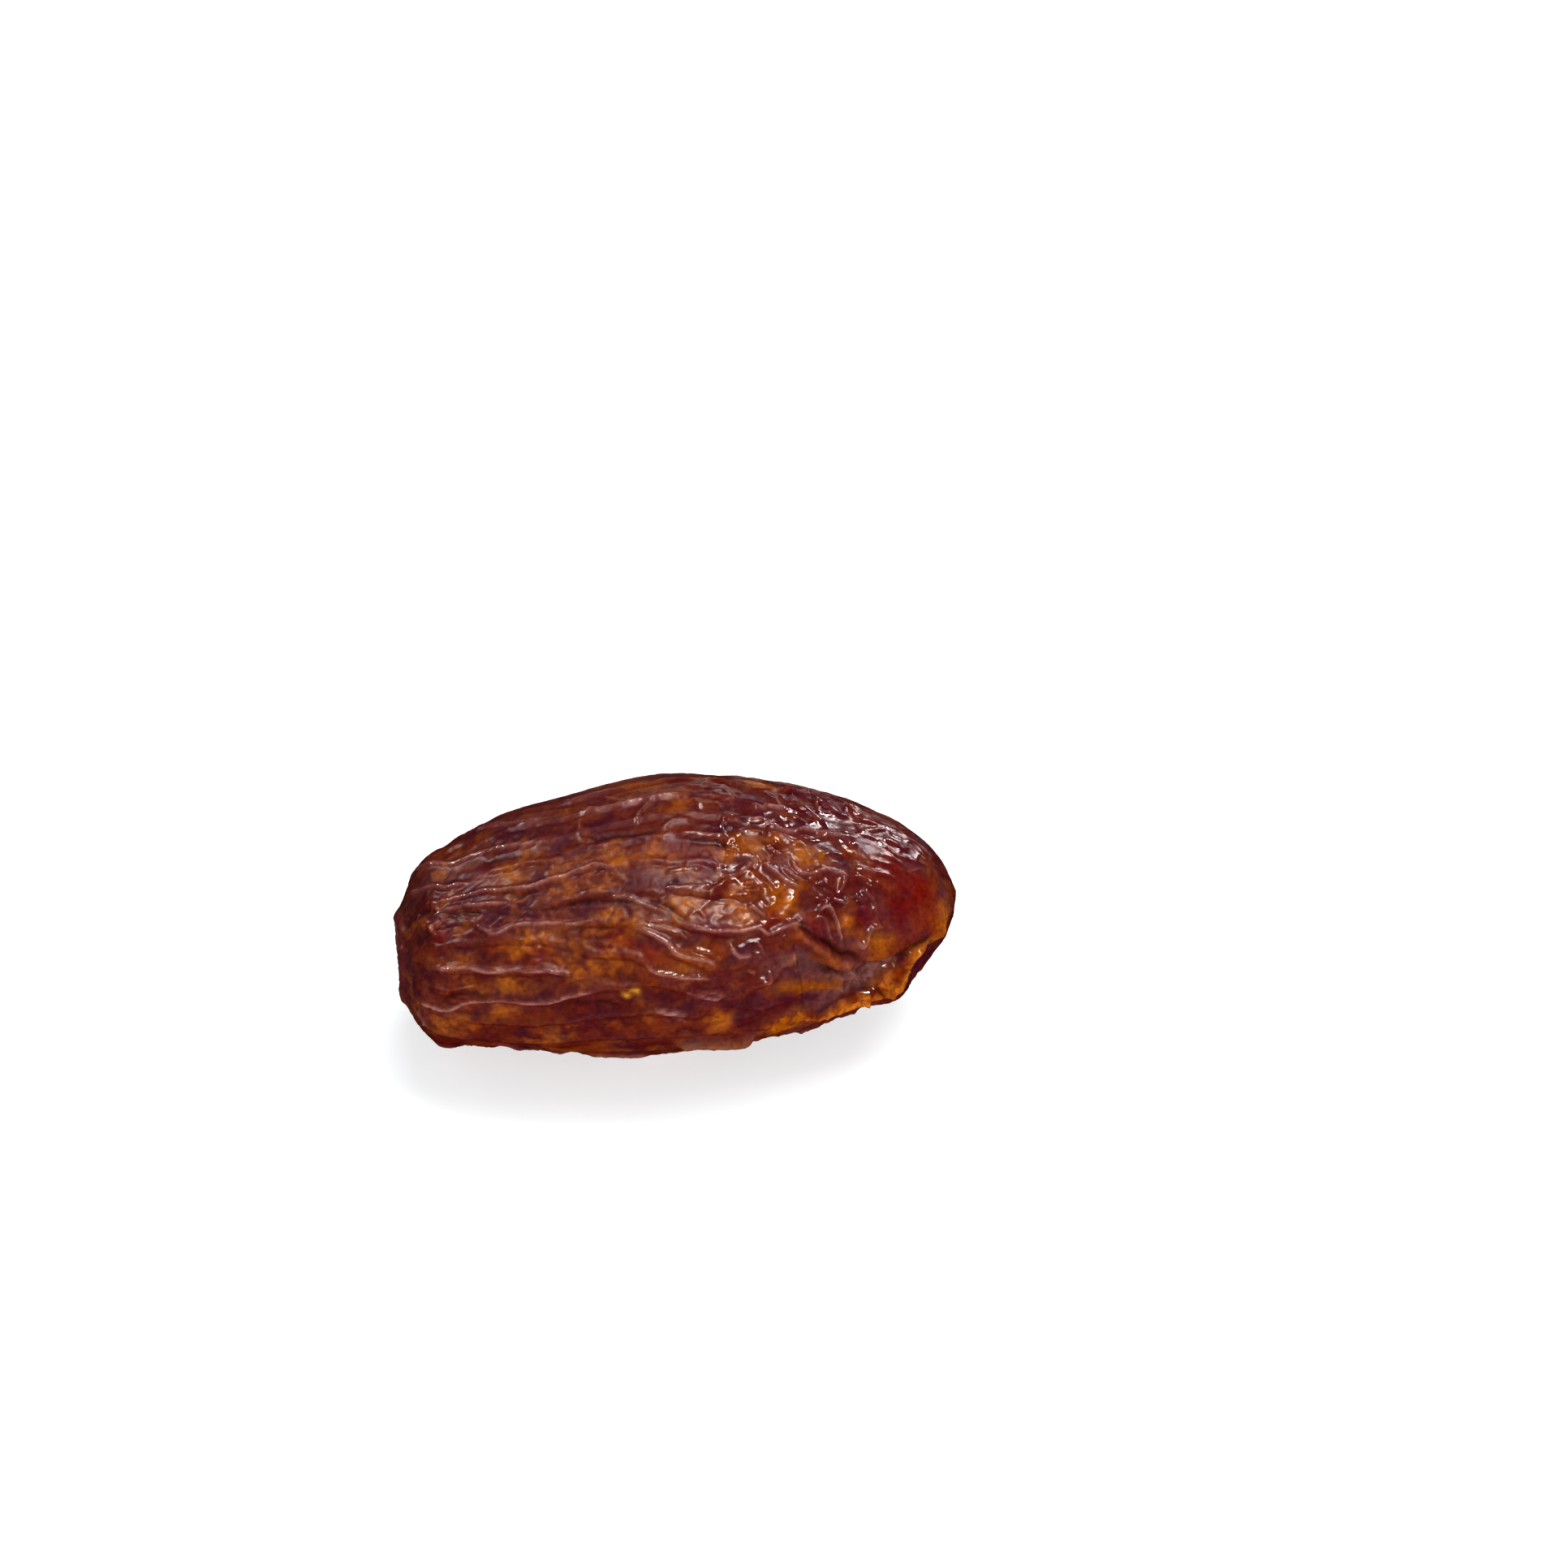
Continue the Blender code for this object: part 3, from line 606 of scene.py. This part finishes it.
lip_crack = raised_line(LIP_CRACK, wavy, LIP_CRACK_WIDTH)
lip_wrinkle = raised_lines(wavy, (LIP_WRINKLES, LIP_WRINKLE_WIDTH))
shallow_fold = raised_line(SHALLOW_FOLD, wavy, SHALLOW_WIDTH)
shallow_furrow = raised_line(SHALLOW_FURROW, wavy, SHALLOW_WIDTH)
rib = raised_line(RIB, body, RIB_WIDTH)
beaded = raised_line(BEADS, body, BEADS_WIDTH)
bead_gap, bead_shade = cells(body, BEAD_SIZE, 2.2)
tear = FLAP_HEIGHT * flap + LIP_HEIGHT * lip_ridge + SLAB_HEIGHT * slab
tear -= TEAR_DEPTH * sunk * at_least(SHALLOW_SHARE, deep)
tear += RIB_HEIGHT * rib
tear += ROPE_HEIGHT * rope - GROOVE_DEPTH * groove - CREVICE_DEPTH * crevice
tear += fleshy * (FLESH_HEIGHT * (grain(body, FLESH_SIZE, 12.7) - FLESH_MEAN) + FIBRE_HEIGHT * fibre)
tear += slab * SLAB_LUMP_HEIGHT * grain(stretched_lip, SLAB_LUMP_SIZE, 5.5)
tear += LIP_WRINKLE_HEIGHT * lip_wrinkle - LIP_CRACK_DEPTH * lip_crack
tear += SHALLOW_FOLD_HEIGHT * shallow_fold - SHALLOW_FURROW_DEPTH * shallow_furrow
tear += BEAD_HEIGHT * beaded * smooth_step(bead_gap, 0, BEAD_EDGE)

# Swells, hollows and the two ends: the flesh shrank unevenly. The stem left a sunken scar with a rim and a pit, and
# the flower left a point at the tip. Swells are (along, turn, height, radius). The folds are lower at calm places,
# (along, turn, share lost, radius).
SWELLS = (
    (0.865, 117, 0.0011, 0.0019), (0.05, 106, 0.0008, 0.0035), (0.07, -35, 0.0004, 0.0030),
    (0.17, -44, 0.0005, 0.0050), (0.52, 120, -0.0004, 0.0070), (0.30, 52, -0.00035, 0.0050),
    (0.55, 22, -0.00025, 0.0040), (0.20, 172, -0.0003, 0.0050), (0.62, -62, -0.0004, 0.0055),
    (0.33, -95, -0.0004, 0.0060), (0.80, -110, -0.0003, 0.0045), (0.45, -140, -0.0003, 0.0050),
    (0.12, -70, -0.0003, 0.0045),
)
CALM_BANDS = ((-45, 0.55, 20), (118, 0.4, 14))
CALM_PLACES = ((0.91, 40, 0.85, 0.0055), (0.99, 0, 0.7, 0.0050), (0.0, 0, 0.6, 0.0030))
CALM_SLAB = 0.8
SCAR_RADIUS = 0.0030
SCAR_DEPTH = 0.0007
SCAR_FLOOR_RADIUS = 0.0021
RIM_RADIUS = 0.0035
RIM_WIDTH = 0.0006
RIM_HEIGHT = 0.00035
PIT_RADIUS = 0.0009
PIT_FLOOR_RADIUS = 0.0004
PIT_DEPTH = 0.0007
TIP_POINT = 0.0002
TIP_RADIUS = 0.0009
STEM_END = 0.1
TIP_END = 0.9
BEADING_MEAN = 0.92
BEADING = 0.2
BEADING_SIZE = 0.0008


def round_place(points, place, radius):
    """1 at a place on the skin, fading out round it at about the radius."""
    return bump(np.linalg.norm(points - body_place(*place), axis=1), radius)


calm = (1 - sunk) * (1 - CALM_SLAB * slab)
for middle, lost, reach in CALM_BANDS:
    calm *= 1 - lost * bump(turn - middle, reach)
for *place, lost, radius in CALM_PLACES:
    calm *= 1 - lost * round_place(body, place, radius)
from_stem = np.hypot(body[:, 1], body[:, 2] - AXIS_HEIGHT + STEM_END_DROP)
from_tip = np.hypot(body[:, 1], body[:, 2] - AXIS_HEIGHT)
scar = RIM_HEIGHT * bump(from_stem - RIM_RADIUS, RIM_WIDTH)
scar -= SCAR_DEPTH * (1 - smooth_step(from_stem, SCAR_FLOOR_RADIUS, SCAR_RADIUS))
scar -= PIT_DEPTH * (1 - smooth_step(from_stem, PIT_FLOOR_RADIUS, PIT_RADIUS))
height = tear + (along < STEM_END) * scar + (along > TIP_END) * TIP_POINT * bump(from_tip, TIP_RADIUS)
for *place, swell, radius in SWELLS:
    height += swell * round_place(body, place, radius)
beading = BEADING_MEAN + BEADING * grain(body, BEADING_SIZE, 55.0)
crests = beading * CREST_HEIGHT * crest * (1 + CURLY_CREST_GAIN * curly)
height += calm * (FOLD_HEIGHT * (fold - UNDER_FOLD_DEPTH * under_fold - FOLD_MEAN) + crests)
height += calm * beading * FINE_CREST_HEIGHT * fine_crest * (1 + CURLY_FINE_CREST_GAIN * curly)
height -= calm * CREASE_DEPTH * crease
height += calm * BLISTER_HEIGHT * (blister - BLISTER_MEAN) * at_least(BLISTER_LEAST, straight * blistered)
puckers = PUCKER_HEIGHT * (1 + CURLY_PUCKER_GAIN * curly) * (pucker - PUCKER_MEAN)
height += calm * (puckers + CURL_HEIGHT * curl + LUMP_HEIGHT * lump)
height *= smooth_step(body[:, 2], *PRESSED_FADE)
shape = body + height[:, None] * outward + (FLAP_HANG * flap)[:, None] * roundward
shape[:, 2] = np.maximum(shape[:, 2], 0)
skin.data.vertices.foreach_set("co", shape.astype(np.float32).ravel())
skin.data.update()
skin.data.shade_smooth()

# Colours and gloss of the skin. It is amber where the flesh lies close behind it, red-brown where it is thicker, plum
# where it has come away from the flesh, and pale along the sharp folds, partly as a painted highlight. Sheen and
# shade
# are painted in too: round the folds, over the tip half, in spots near the top and beyond the tear's lip. Spots are
# (along, turn, radius, share).
BROWN = (0.165, 0.021, 0.004)
RUST = (0.225, 0.039, 0.003)
AMBER = (0.430, 0.140, 0.003)
GOLD = (0.530, 0.180, 0.003)
OCHRE = (0.300, 0.088, 0.003)
MAROON = (0.118, 0.003, 0.002)
DEEP_RED = (0.200, 0.007, 0.004)
PLUM = (0.088, 0.009, 0.024)
MAUVE = (0.165, 0.038, 0.043)
PALE_PINK = (0.68, 0.42, 0.35)
FLESH_PURPLE = (0.250, 0.105, 0.090)
LIP_ORANGE = (0.560, 0.205, 0.028)
ROPE_TAN = (0.360, 0.130, 0.060)
SHADE = (0.036, 0.003, 0.003)
FLAKE_YELLOW = (0.60, 0.32, 0.02)
TAN = (0.36, 0.17, 0.09)
# A grey haze over the tip half: a painted sheen.
CURLY_PAINTED_SHEEN = (0.0, 0.012, 0.014)
# Each mottle: its colour, size and seed, the noise where it starts and is full, its share, and more where curly.
MOTTLES = (
    (RUST, 0.0016, 60.5, -0.2, 0.4, 1.0, 0.0),
    (MAROON, 0.0021, 71.3, -0.1, 0.4, 0.8, 0.0),
    (PLUM, 0.0017, 22.6, 0.0, 0.4, 0.75, 0.15),
    (OCHRE, 0.0015, 83.9, 0.05, 0.5, 0.5, -0.2),
    (MAUVE, 0.0019, 36.4, 0.0, 0.5, 0.25, 0.5),
)
RAGGED_WARP = (0.0011, 0.0009, 77.7)
DAPPLE_SIZE = 0.0012
DAPPLE_WARP = (0.0008, 0.0006, 51.3, 0.5)
AMBER_SPOTS = (
    (0.205, 49, 0.0010, 1.0), (0.24, 2, 0.0008, 0.8), (0.213, 9, 0.0012, 0.8), (0.086, -8, 0.0009, 0.6),
    (0.289, 55.5, 0.0012, 0.8), (0.333, 44, 0.0010, 0.8), (0.372, 42, 0.0009, 0.7), (0.285, 20, 0.0012, 0.8),
    (0.355, 25, 0.0010, 0.7), (0.182, 70, 0.0013, 0.7), (0.166, 88, 0.0012, 0.6), (0.106, 93, 0.0012, 0.6),
    (0.251, 108, 0.0008, 0.9), (0.364, 63, 0.0016, 0.8), (0.441, -24, 0.0013, 0.6), (0.504, -5, 0.0012, 0.7),
    (0.579, 19, 0.0010, 0.6), (0.623, 17, 0.0013, 0.5), (0.501, 38, 0.0015, 0.8), (0.60, 48.5, 0.0013, 0.7),
    (0.684, 41, 0.0015, 0.8), (0.505, 67.5, 0.0013, 0.7), (0.549, 96, 0.0011, 0.7), (0.66, 112, 0.0012, 0.9),
    (0.654, 10, 0.0009, 0.3), (0.715, 21.5, 0.0013, 0.6), (0.774, 56, 0.0009, 0.6), (0.834, 69, 0.0013, 0.6),
    (0.968, 72, 0.0014, 0.7), (0.662, -22, 0.0011, 0.6), (0.30, 68, 0.0010, 0.5), (0.10, 58, 0.0012, 0.4),
    (0.664, 12, 0.0009, 0.6), (0.750, 20, 0.0009, 0.6), (0.816, 70, 0.0010, 0.6), (0.950, 88, 0.0010, 0.7),
    (0.385, 16, 0.0011, 0.7), (0.114, 30, 0.0008, 0.6), (0.405, 48, 0.0009, 0.7), (0.481, 48, 0.0010, 0.6),
    (0.338, 65, 0.0012, 0.7), (0.254, 47, 0.0010, 0.7), (0.065, 96, 0.0010, 0.6), (0.138, 78, 0.0009, 0.5),
    (0.475, -19, 0.0011, 0.5), (0.582, -7, 0.0011, 0.6), (0.583, 39, 0.0009, 0.6), (0.423, 89, 0.0010, 0.5),
    (0.457, 14, 0.0010, 0.7), (0.436, 18, 0.0008, 0.6), (0.484, 23, 0.0009, 0.5),
)
RED_SPOTS = (
    (0.919, 36, 0.0022, 0.8), (0.885, 53, 0.0018, 0.7), (0.938, 50, 0.0018, 0.6), (0.874, 23, 0.0015, 0.7),
    (0.820, 53, 0.0010, 0.7), (0.710, 56, 0.0011, 0.7), (0.652, 49, 0.0010, 0.7), (0.245, 55, 0.0011, 0.9),
    (0.382, 56, 0.0013, 0.9), (0.306, 87, 0.0014, 0.8), (0.325, 98, 0.0012, 0.7), (0.164, 6, 0.0010, 0.7),
    (0.072, 28, 0.0010, 0.6), (0.374, 39, 0.0010, 0.6), (0.301, 17, 0.0010, 0.5), (0.435, 61, 0.0012, 0.7),
    (0.500, 16, 0.0015, 0.6), (0.455, 14, 0.0010, 0.6), (0.545, 24, 0.0010, 0.6),
)
DARK_SPOTS = (
    (0.331, 37, 0.0016, 0.9), (0.40, 37, 0.0014, 0.9), (0.112, 29, 0.0012, 0.8), (0.17, 33, 0.0012, 0.8),
    (0.181, 0, 0.0008, 0.9), (0.30, -3, 0.0011, 0.8), (0.25, -6, 0.0011, 0.8), (0.313, 62, 0.0006, 0.7),
    (0.322, 90, 0.0014, 0.8), (0.315, 98, 0.0012, 0.6), (0.491, 29, 0.0010, 0.9), (0.54, 31, 0.0009, 0.8),
    (0.602, 23, 0.0009, 0.7), (0.56, 38, 0.0008, 0.7), (0.607, -6.5, 0.0020, 0.8), (0.657, 4.7, 0.0013, 0.8),
    (0.592, 96, 0.0010, 0.7), (0.78, -1.3, 0.0022, 0.9), (0.715, 2, 0.0018, 0.9), (0.715, 44, 0.0009, 0.8),
    (0.806, 48, 0.0012, 0.7), (0.85, 5, 0.0018, 0.7), (0.45, 42, 0.0010, 0.8), (0.39, 85, 0.0010, 0.8),
    (0.914, 5, 0.0024, 0.8), (0.866, -2, 0.0014, 0.7), (0.815, 2, 0.0016, 0.8), (0.676, 3, 0.0013, 0.8),
    (0.969, -2, 0.0015, 0.7), (0.284, -9, 0.0012, 0.8), (0.206, -10, 0.0012, 0.6), (0.367, -3, 0.0012, 0.7),
    (0.126, 13, 0.0009, 0.7), (0.042, 3, 0.0010, 0.7), (0.060, -6, 0.0010, 0.7), (0.239, 32, 0.0010, 0.8),
    (0.138, 44, 0.0009, 0.7), (0.279, 56, 0.0009, 0.7), (0.422, 26, 0.0011, 0.8), (0.467, -5, 0.0011, 0.7),
    (0.333, 93, 0.0013, 0.6), (0.444, 83, 0.0012, 0.7), (0.485, 88, 0.0012, 0.7), (0.570, 83, 0.0014, 0.6),
    (0.605, 86, 0.0012, 0.6), (0.577, 9, 0.0012, 0.9), (0.461, 31, 0.0012, 0.8), (0.405, 30, 0.0010, 0.7),
)
# Mauve-grey spots on broad facets near the top: a painted sheen.
PAINTED_SHEEN_SPOTS = (
    (0.70, -8, 0.0022, 0.6), (0.78, -14, 0.0030, 0.6), (0.84, -12, 0.0028, 0.6), (0.90, -8, 0.0024, 0.6),
    (0.60, -8, 0.0018, 0.5), (0.45, -14, 0.0016, 0.4), (0.28, -20, 0.0016, 0.5), (0.68, 88, 0.0018, 0.4),
    (0.56, 78, 0.0018, 0.5), (0.62, 66, 0.0014, 0.3), (0.10, 40, 0.0014, 0.4), (0.06, 64, 0.0016, 0.4),
)
GLOSSY_SPOTS = (
    (0.556, 36, 0.0010, 1.0), (0.433, 69, 0.0008, 1.0), (0.474, 74, 0.0010, 1.0), (0.497, 63, 0.0008, 1.0),
    (0.537, 67, 0.0010, 1.0), (0.798, 38, 0.0010, 1.0), (0.805, 69, 0.0010, 1.0), (0.744, 49, 0.0010, 1.0),
    (0.747, 59, 0.0010, 1.0), (0.643, -3, 0.0012, 1.0), (0.714, -4, 0.0012, 1.0), (0.759, -7, 0.0012, 1.0),
    (0.595, 15, 0.0010, 1.0),
)
MATT_SPOTS = ((0.53, 24, 0.0045, 1.0),)
FLAKES = ((0.390, 78.4, 0.00042, 1.0), (0.400, 79.2, 0.00024, 0.8))
CRUMBS = ((0.673, 71.7, 0.0006, 0.8),)
BESIDE_LIP_FADE = (0.0003, 0.0008)
BESIDE_LIP_REACH = 0.003
BESIDE_LIP_ALONG, BESIDE_LIP_TURN = 0.87, 86
STEM_END_PALE = (0.01, 0.05)
END_RING_RADIUS = 0.0024
END_RING_WIDTH = 0.0007
PIT_SHADE = (0.0006, 0.0016)
LEAST_TONE = 0.001
STRAIGHT_GLOSS = 0.12
CURLY_GLOSS = 0.33


def mixed(colour, other, share):
    """The colour of each point, moved towards another colour by its share."""
    return colour + (np.array(other) - colour) * share[:, None]


def spots(places, points):
    """How far each point takes the colour of a list of soft spots."""
    share = np.zeros(len(points))
    for *place, radius, most in places:
        share = np.maximum(share, most * round_place(points, place, radius))
    return share


ragged = warped(body, *RAGGED_WARP)
dapple = grain(warped(body, *DAPPLE_WARP), DAPPLE_SIZE, 27.4)
patchy = at_least(0.35, blistered) * at_least(0.45, straight) * calm
sharp = np.clip(crest * 0.8 + fine_crest * 0.6, 0, 1) * calm
# Painted shade on the skin just beyond the lip's outer edge, where it turns under.
painted_shade_beside_lip = (from_lip < BESIDE_LIP_REACH) & ~in_lip & (along > BESIDE_LIP_ALONG) & (turn > BESIDE_LIP_TURN)
at_stem = along < STEM_END
layers = (
    # The skin over the flesh: dapples, and blisters with dark gaps between them.
    (AMBER, smooth_step(dapple, 0.18, 0.5) * patchy * 0.42),
    (MAROON, smooth_step(dapple, -0.1, -0.4) * patchy * 0.7),
    (AMBER, blister * patchy * smooth_step(blister_shade, 0.6, 1.0) * 0.25),
    (PLUM, (1 - blister) * patchy * 0.35),
    # The folds: mauve beside a crest and on the fold tops, partly the skin's own colour and partly a painted sheen;
    # painted shade under the folds and in the creases; and pale crest lines, partly pale skin and partly a painted
    # highlight.
    (MAUVE, crest_band * (0.50 + 0.35 * grain(body, 0.0013, 14.1)) * calm),
    (MAUVE, 0.42 * smooth_step(fold, 0.5, 1.0) * calm),
    (MAROON, 0.7 * under_fold * calm),
    (SHADE, 0.5 * crease * calm),
    (PALE_PINK, sharp ** (2 + curly) * (0.60 + 0.25 * curly + 0.3 * grain(body, 0.0010, 33.3))),
    # The tear: its bared flesh, the lip and the skin round them, with painted shade on the skin beyond the lip.
    (FLESH_PURPLE, sunk * 0.9),
    (SHADE, fleshy * smooth_step(fibre, 0.3, 0.0) * 0.5),
    (PLUM, sunk * (1 - deep) * 0.5),
    (OCHRE, shallow_fold * 0.9),
    (PLUM, shallow_furrow * 0.8),
    (RUST, slab * 0.9),
    (LIP_ORANGE, slab * smooth_step(grain(stretched_lip, 0.0014, 3.3), -0.35, 0.25)),
    (LIP_ORANGE, lip_ridge * 0.8),
    (PLUM, slab * smooth_step(fibre, 0.55, 1.0) * 0.55),
    (PLUM, painted_shade_beside_lip * smooth_step(from_lip, *BESIDE_LIP_FADE) * 0.7),
    (TAN, rib * 0.6),
    (RUST, lip_wrinkle * smooth_step(grain(body, 0.0006, 8.1), 0.2, -0.3) * 0.6),
    (ROPE_TAN, rope**2 * (0.5 + 0.5 * grain(body, 0.0009, 2.7))),
    (SHADE, 0.8 * np.maximum(groove * (1 - rope), crevice)),
    (SHADE, 0.9 * lip_crack),
    (AMBER, beaded * smooth_step(bead_shade, 0.3, 0.9)),
    # Bits of dry skin, and the stem's scar with its ring and pit.
    (FLAKE_YELLOW, spots(FLAKES, ragged)),
    (TAN, spots(CRUMBS, ragged)),
    (MAUVE, 0.4 * (1 - smooth_step(along, *STEM_END_PALE))),
    (TAN, 0.7 * at_stem * bump(from_stem - END_RING_RADIUS, END_RING_WIDTH)),
    (SHADE, 0.9 * at_stem * (1 - smooth_step(from_stem, *PIT_SHADE))),
)
tone = np.tile(np.array(BROWN), (len(body), 1))
for shade, size, seed, low, high, most, more_curly in MOTTLES:
    tone = mixed(tone, shade, smooth_step(grain(stretched, size, seed), low, high) * (most + more_curly * curly))
# A painted sheen: a grey haze added over the curly tip half.
tone += np.outer(curly, CURLY_PAINTED_SHEEN)
# The mauve spots are a painted sheen; the others are the skin's own colour.
for shade, places in ((DEEP_RED, RED_SPOTS), (GOLD, AMBER_SPOTS), (PLUM, DARK_SPOTS), (MAUVE, PAINTED_SHEEN_SPOTS)):
    tone = mixed(tone, shade, spots(places, ragged))
for shade, share in layers:
    tone = mixed(tone, shade, share)
tone = np.clip(tone, LEAST_TONE, 1)

gloss = STRAIGHT_GLOSS + CURLY_GLOSS * curly
for gain, share in (
    (-0.25, spots(MATT_SPOTS, body)),
    (0.8, np.maximum.reduce((crest, fine_crest, 0.7 * curl))),
    (-0.3, fleshy),
    (0.6, beaded),
    (0.5, spots(GLOSSY_SPOTS, body)),
    (0.5, np.maximum.reduce((lip_wrinkle, rope, lip_ridge))),
):
    gloss += gain * share
gloss = np.clip(gloss, 0, 1)
gloss_values = skin.data.attributes.new("skin_gloss", "FLOAT", "POINT")
gloss_values.data.foreach_set("value", gloss.astype(np.float32))
tone_values = skin.data.attributes.new("skin_tone", "FLOAT_COLOR", "POINT")
tone_values.data.foreach_set("color", np.column_stack([tone, np.ones(len(tone))]).astype(np.float32).ravel())

# The skin's finish: a little light passes through it, and it has fine flecks of colour, an uneven gloss and pores.
skin_finish = bpy.data.materials.new("dried_skin")
skin_finish.use_nodes = True
nodes, links = skin_finish.node_tree.nodes, skin_finish.node_tree.links
shader = nodes["Principled BSDF"]
FLECKS = {"Scale": 2600, "Detail": 3, "Roughness": 0.6}
FLECK_RANGE = {"From Min": 0.3, "From Max": 0.7, "To Min": 0.72, "To Max": 1.28}
DULLNESS = {"Scale": 900, "Detail": 3}
DULLNESS_SHARE = 0.5
ROUGHNESS_RANGE = {"From Min": 0.4, "From Max": 1.1, "To Min": 0.42, "To Max": 0.10}
PORES = {"Scale": 2200, "Detail": 3}
PORE_RELIEF = {"Strength": 0.6, "Distance": 0.00003}


def set_inputs(made, values):
    for name, value in values.items():
        made.inputs[name].default_value = value


def node(kind, inputs=None, **settings):
    """A new node of the skin's finish, with the values of its inputs and its settings."""
    made = nodes.new(kind)
    for name, value in settings.items():
        setattr(made, name, value)
    set_inputs(made, inputs or {})
    return made


set_inputs(shader, {
    "Specular IOR Level": 0.5,
    "Subsurface Weight": 0.15,
    "Subsurface Radius": (1.0, 0.3, 0.1),
    "Subsurface Scale": 0.0006,
})
on_fruit = node("ShaderNodeTexCoord").outputs["Object"]
flecks, dullness, pores = [node("ShaderNodeTexNoise", look) for look in (FLECKS, DULLNESS, PORES)]
for speckles in (flecks, dullness, pores):
    links.new(on_fruit, speckles.inputs["Vector"])

painted = node("ShaderNodeAttribute", attribute_name="skin_tone")
fleck_share = node("ShaderNodeMapRange", FLECK_RANGE)
fleck_tone = node("ShaderNodeVectorMath", operation="SCALE")
links.new(flecks.outputs["Fac"], fleck_share.inputs["Value"])
links.new(painted.outputs["Color"], fleck_tone.inputs[0])
links.new(fleck_share.outputs["Result"], fleck_tone.inputs["Scale"])
links.new(fleck_tone.outputs["Vector"], shader.inputs["Base Color"])

shiny = node("ShaderNodeAttribute", attribute_name="skin_gloss")
uneven = node("ShaderNodeMath", operation="MULTIPLY_ADD")
uneven.inputs[1].default_value = DULLNESS_SHARE
roughness = node("ShaderNodeMapRange", ROUGHNESS_RANGE)
links.new(dullness.outputs["Fac"], uneven.inputs[0])
links.new(shiny.outputs["Fac"], uneven.inputs[2])
links.new(uneven.outputs["Value"], roughness.inputs["Value"])
links.new(roughness.outputs["Result"], shader.inputs["Roughness"])

relief = node("ShaderNodeBump", PORE_RELIEF)
links.new(pores.outputs["Fac"], relief.inputs["Height"])
links.new(relief.outputs["Normal"], shader.inputs["Normal"])
skin.data.materials.append(skin_finish)

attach(skin, "root")
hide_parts("date_fruit")

# Floor: a plain pale sheet under the fruit. It glows a little, like a ground that is lit until it is plain white.
bpy.ops.object.select_all(action="DESELECT")
bpy.ops.mesh.primitive_plane_add(size=4.0)
floor = bpy.context.object
floor.name = "floor"
floor_finish = bpy.data.materials.new("floor")
floor_finish.use_nodes = True
set_inputs(floor_finish.node_tree.nodes["Principled BSDF"], {
    "Base Color": (0.60, 0.64, 0.66, 1),
    "Roughness": 0.6,
    "Emission Color": (1, 1, 1, 1),
    "Emission Strength": 0.40,
})
floor.data.materials.append(floor_finish)

# Light: a pale room, a wide soft lamp high on the right behind the fruit, and a low one in front of it. They light
# the fruit and the floor but don't show on the gloss, where they would lay a grey haze over the dark skin. Small
# lamps make the glints instead, and light nothing else.
LAMPS_AIM = Vector((0, 0, 0.01))
scene = bpy.context.scene
world = bpy.data.worlds.new("room")
scene.world = world
world.use_nodes = True
set_inputs(world.node_tree.nodes["Background"], {"Color": (1, 1, 1, 1), "Strength": 0.25})
world.cycles_visibility.glossy = False
floor.visible_glossy = False


def soft_lamp(name, place, size, power, glints):
    """A lamp that makes only glints on the glossy skin, or does everything but make them."""
    lamp = bpy.data.lights.new(name, "AREA")
    lamp.shape = "RECTANGLE"
    lamp.size, lamp.size_y = size
    lamp.energy = power
    lamp_object = bpy.data.objects.new(name, lamp)
    scene.collection.objects.link(lamp_object)
    lamp_object.location = place
    lamp_object.rotation_euler = (LAMPS_AIM - Vector(place)).to_track_quat("-Z", "Y").to_euler()
    lamp_object.visible_glossy, lamp_object.visible_diffuse = glints, not glints


soft_lamp("key_lamp", (0.20, 0.20, 0.56), (0.55, 0.45), 2.62, glints=False)
soft_lamp("fill_lamp", (-0.04, -0.52, 0.20), (0.50, 0.24), 1.48, glints=False)
soft_lamp("glint_lamp", (0.05, 0.17, 0.58), (0.20, 0.03), 0.25, glints=True)
soft_lamp("front_glint_lamp", (0.10, -0.10, 0.60), (0.02, 0.44), 1.1, glints=True)
soft_lamp("near_glint_lamp", (0.10, -0.30, 0.55), (0.12, 0.015), 1.2, glints=True)
soft_lamp("right_glint_lamp", (0.42, 0.45, 0.16), (0.14, 0.10), 0.3, glints=True)
soft_lamp("high_glint_lamp", (0.36, 0.36, 0.30), (0.12, 0.04), 0.5, glints=True)
soft_lamp("left_glint_lamp", (-0.38, 0.26, 0.40), (0.05, 0.05), 0.9, glints=True)
soft_lamp("back_glint_lamp", (0.35, 0.9, 0.08), (1.0, 0.2), 0.5, glints=True)

# Camera: a long lens from the front and above, turned a little to the left of the fruit.
AZIMUTH, ELEVATION = math.radians(-8), math.radians(40)
LENS, SENSOR = 100.0, 36.0
FRAME_SIZE = 1932
DISTANCE = 0.372
AIM = Vector((0.0, 0.0, 0.0108))
AIM_PIXEL = (833, 1119)
back = Vector((
    math.sin(AZIMUTH) * math.cos(ELEVATION), -math.cos(AZIMUTH) * math.cos(ELEVATION), math.sin(ELEVATION)
))
right = Vector((math.cos(AZIMUTH), math.sin(AZIMUTH), 0))
upward = back.cross(right)
per_pixel = SENSOR / LENS * DISTANCE / FRAME_SIZE
aside = (AIM_PIXEL[0] - FRAME_SIZE / 2) * per_pixel
above = (FRAME_SIZE / 2 - AIM_PIXEL[1]) * per_pixel
camera_data = bpy.data.cameras.new("camera")
camera_data.lens, camera_data.sensor_width = LENS, SENSOR
camera = bpy.data.objects.new("camera", camera_data)
scene.collection.objects.link(camera)
camera.location = AIM + back * DISTANCE - right * aside - upward * above
camera.rotation_euler = Matrix((right, upward, back)).transposed().to_euler()
scene.camera = camera
scene.view_settings.view_transform = "Standard"
scene.view_settings.look = "High Contrast"
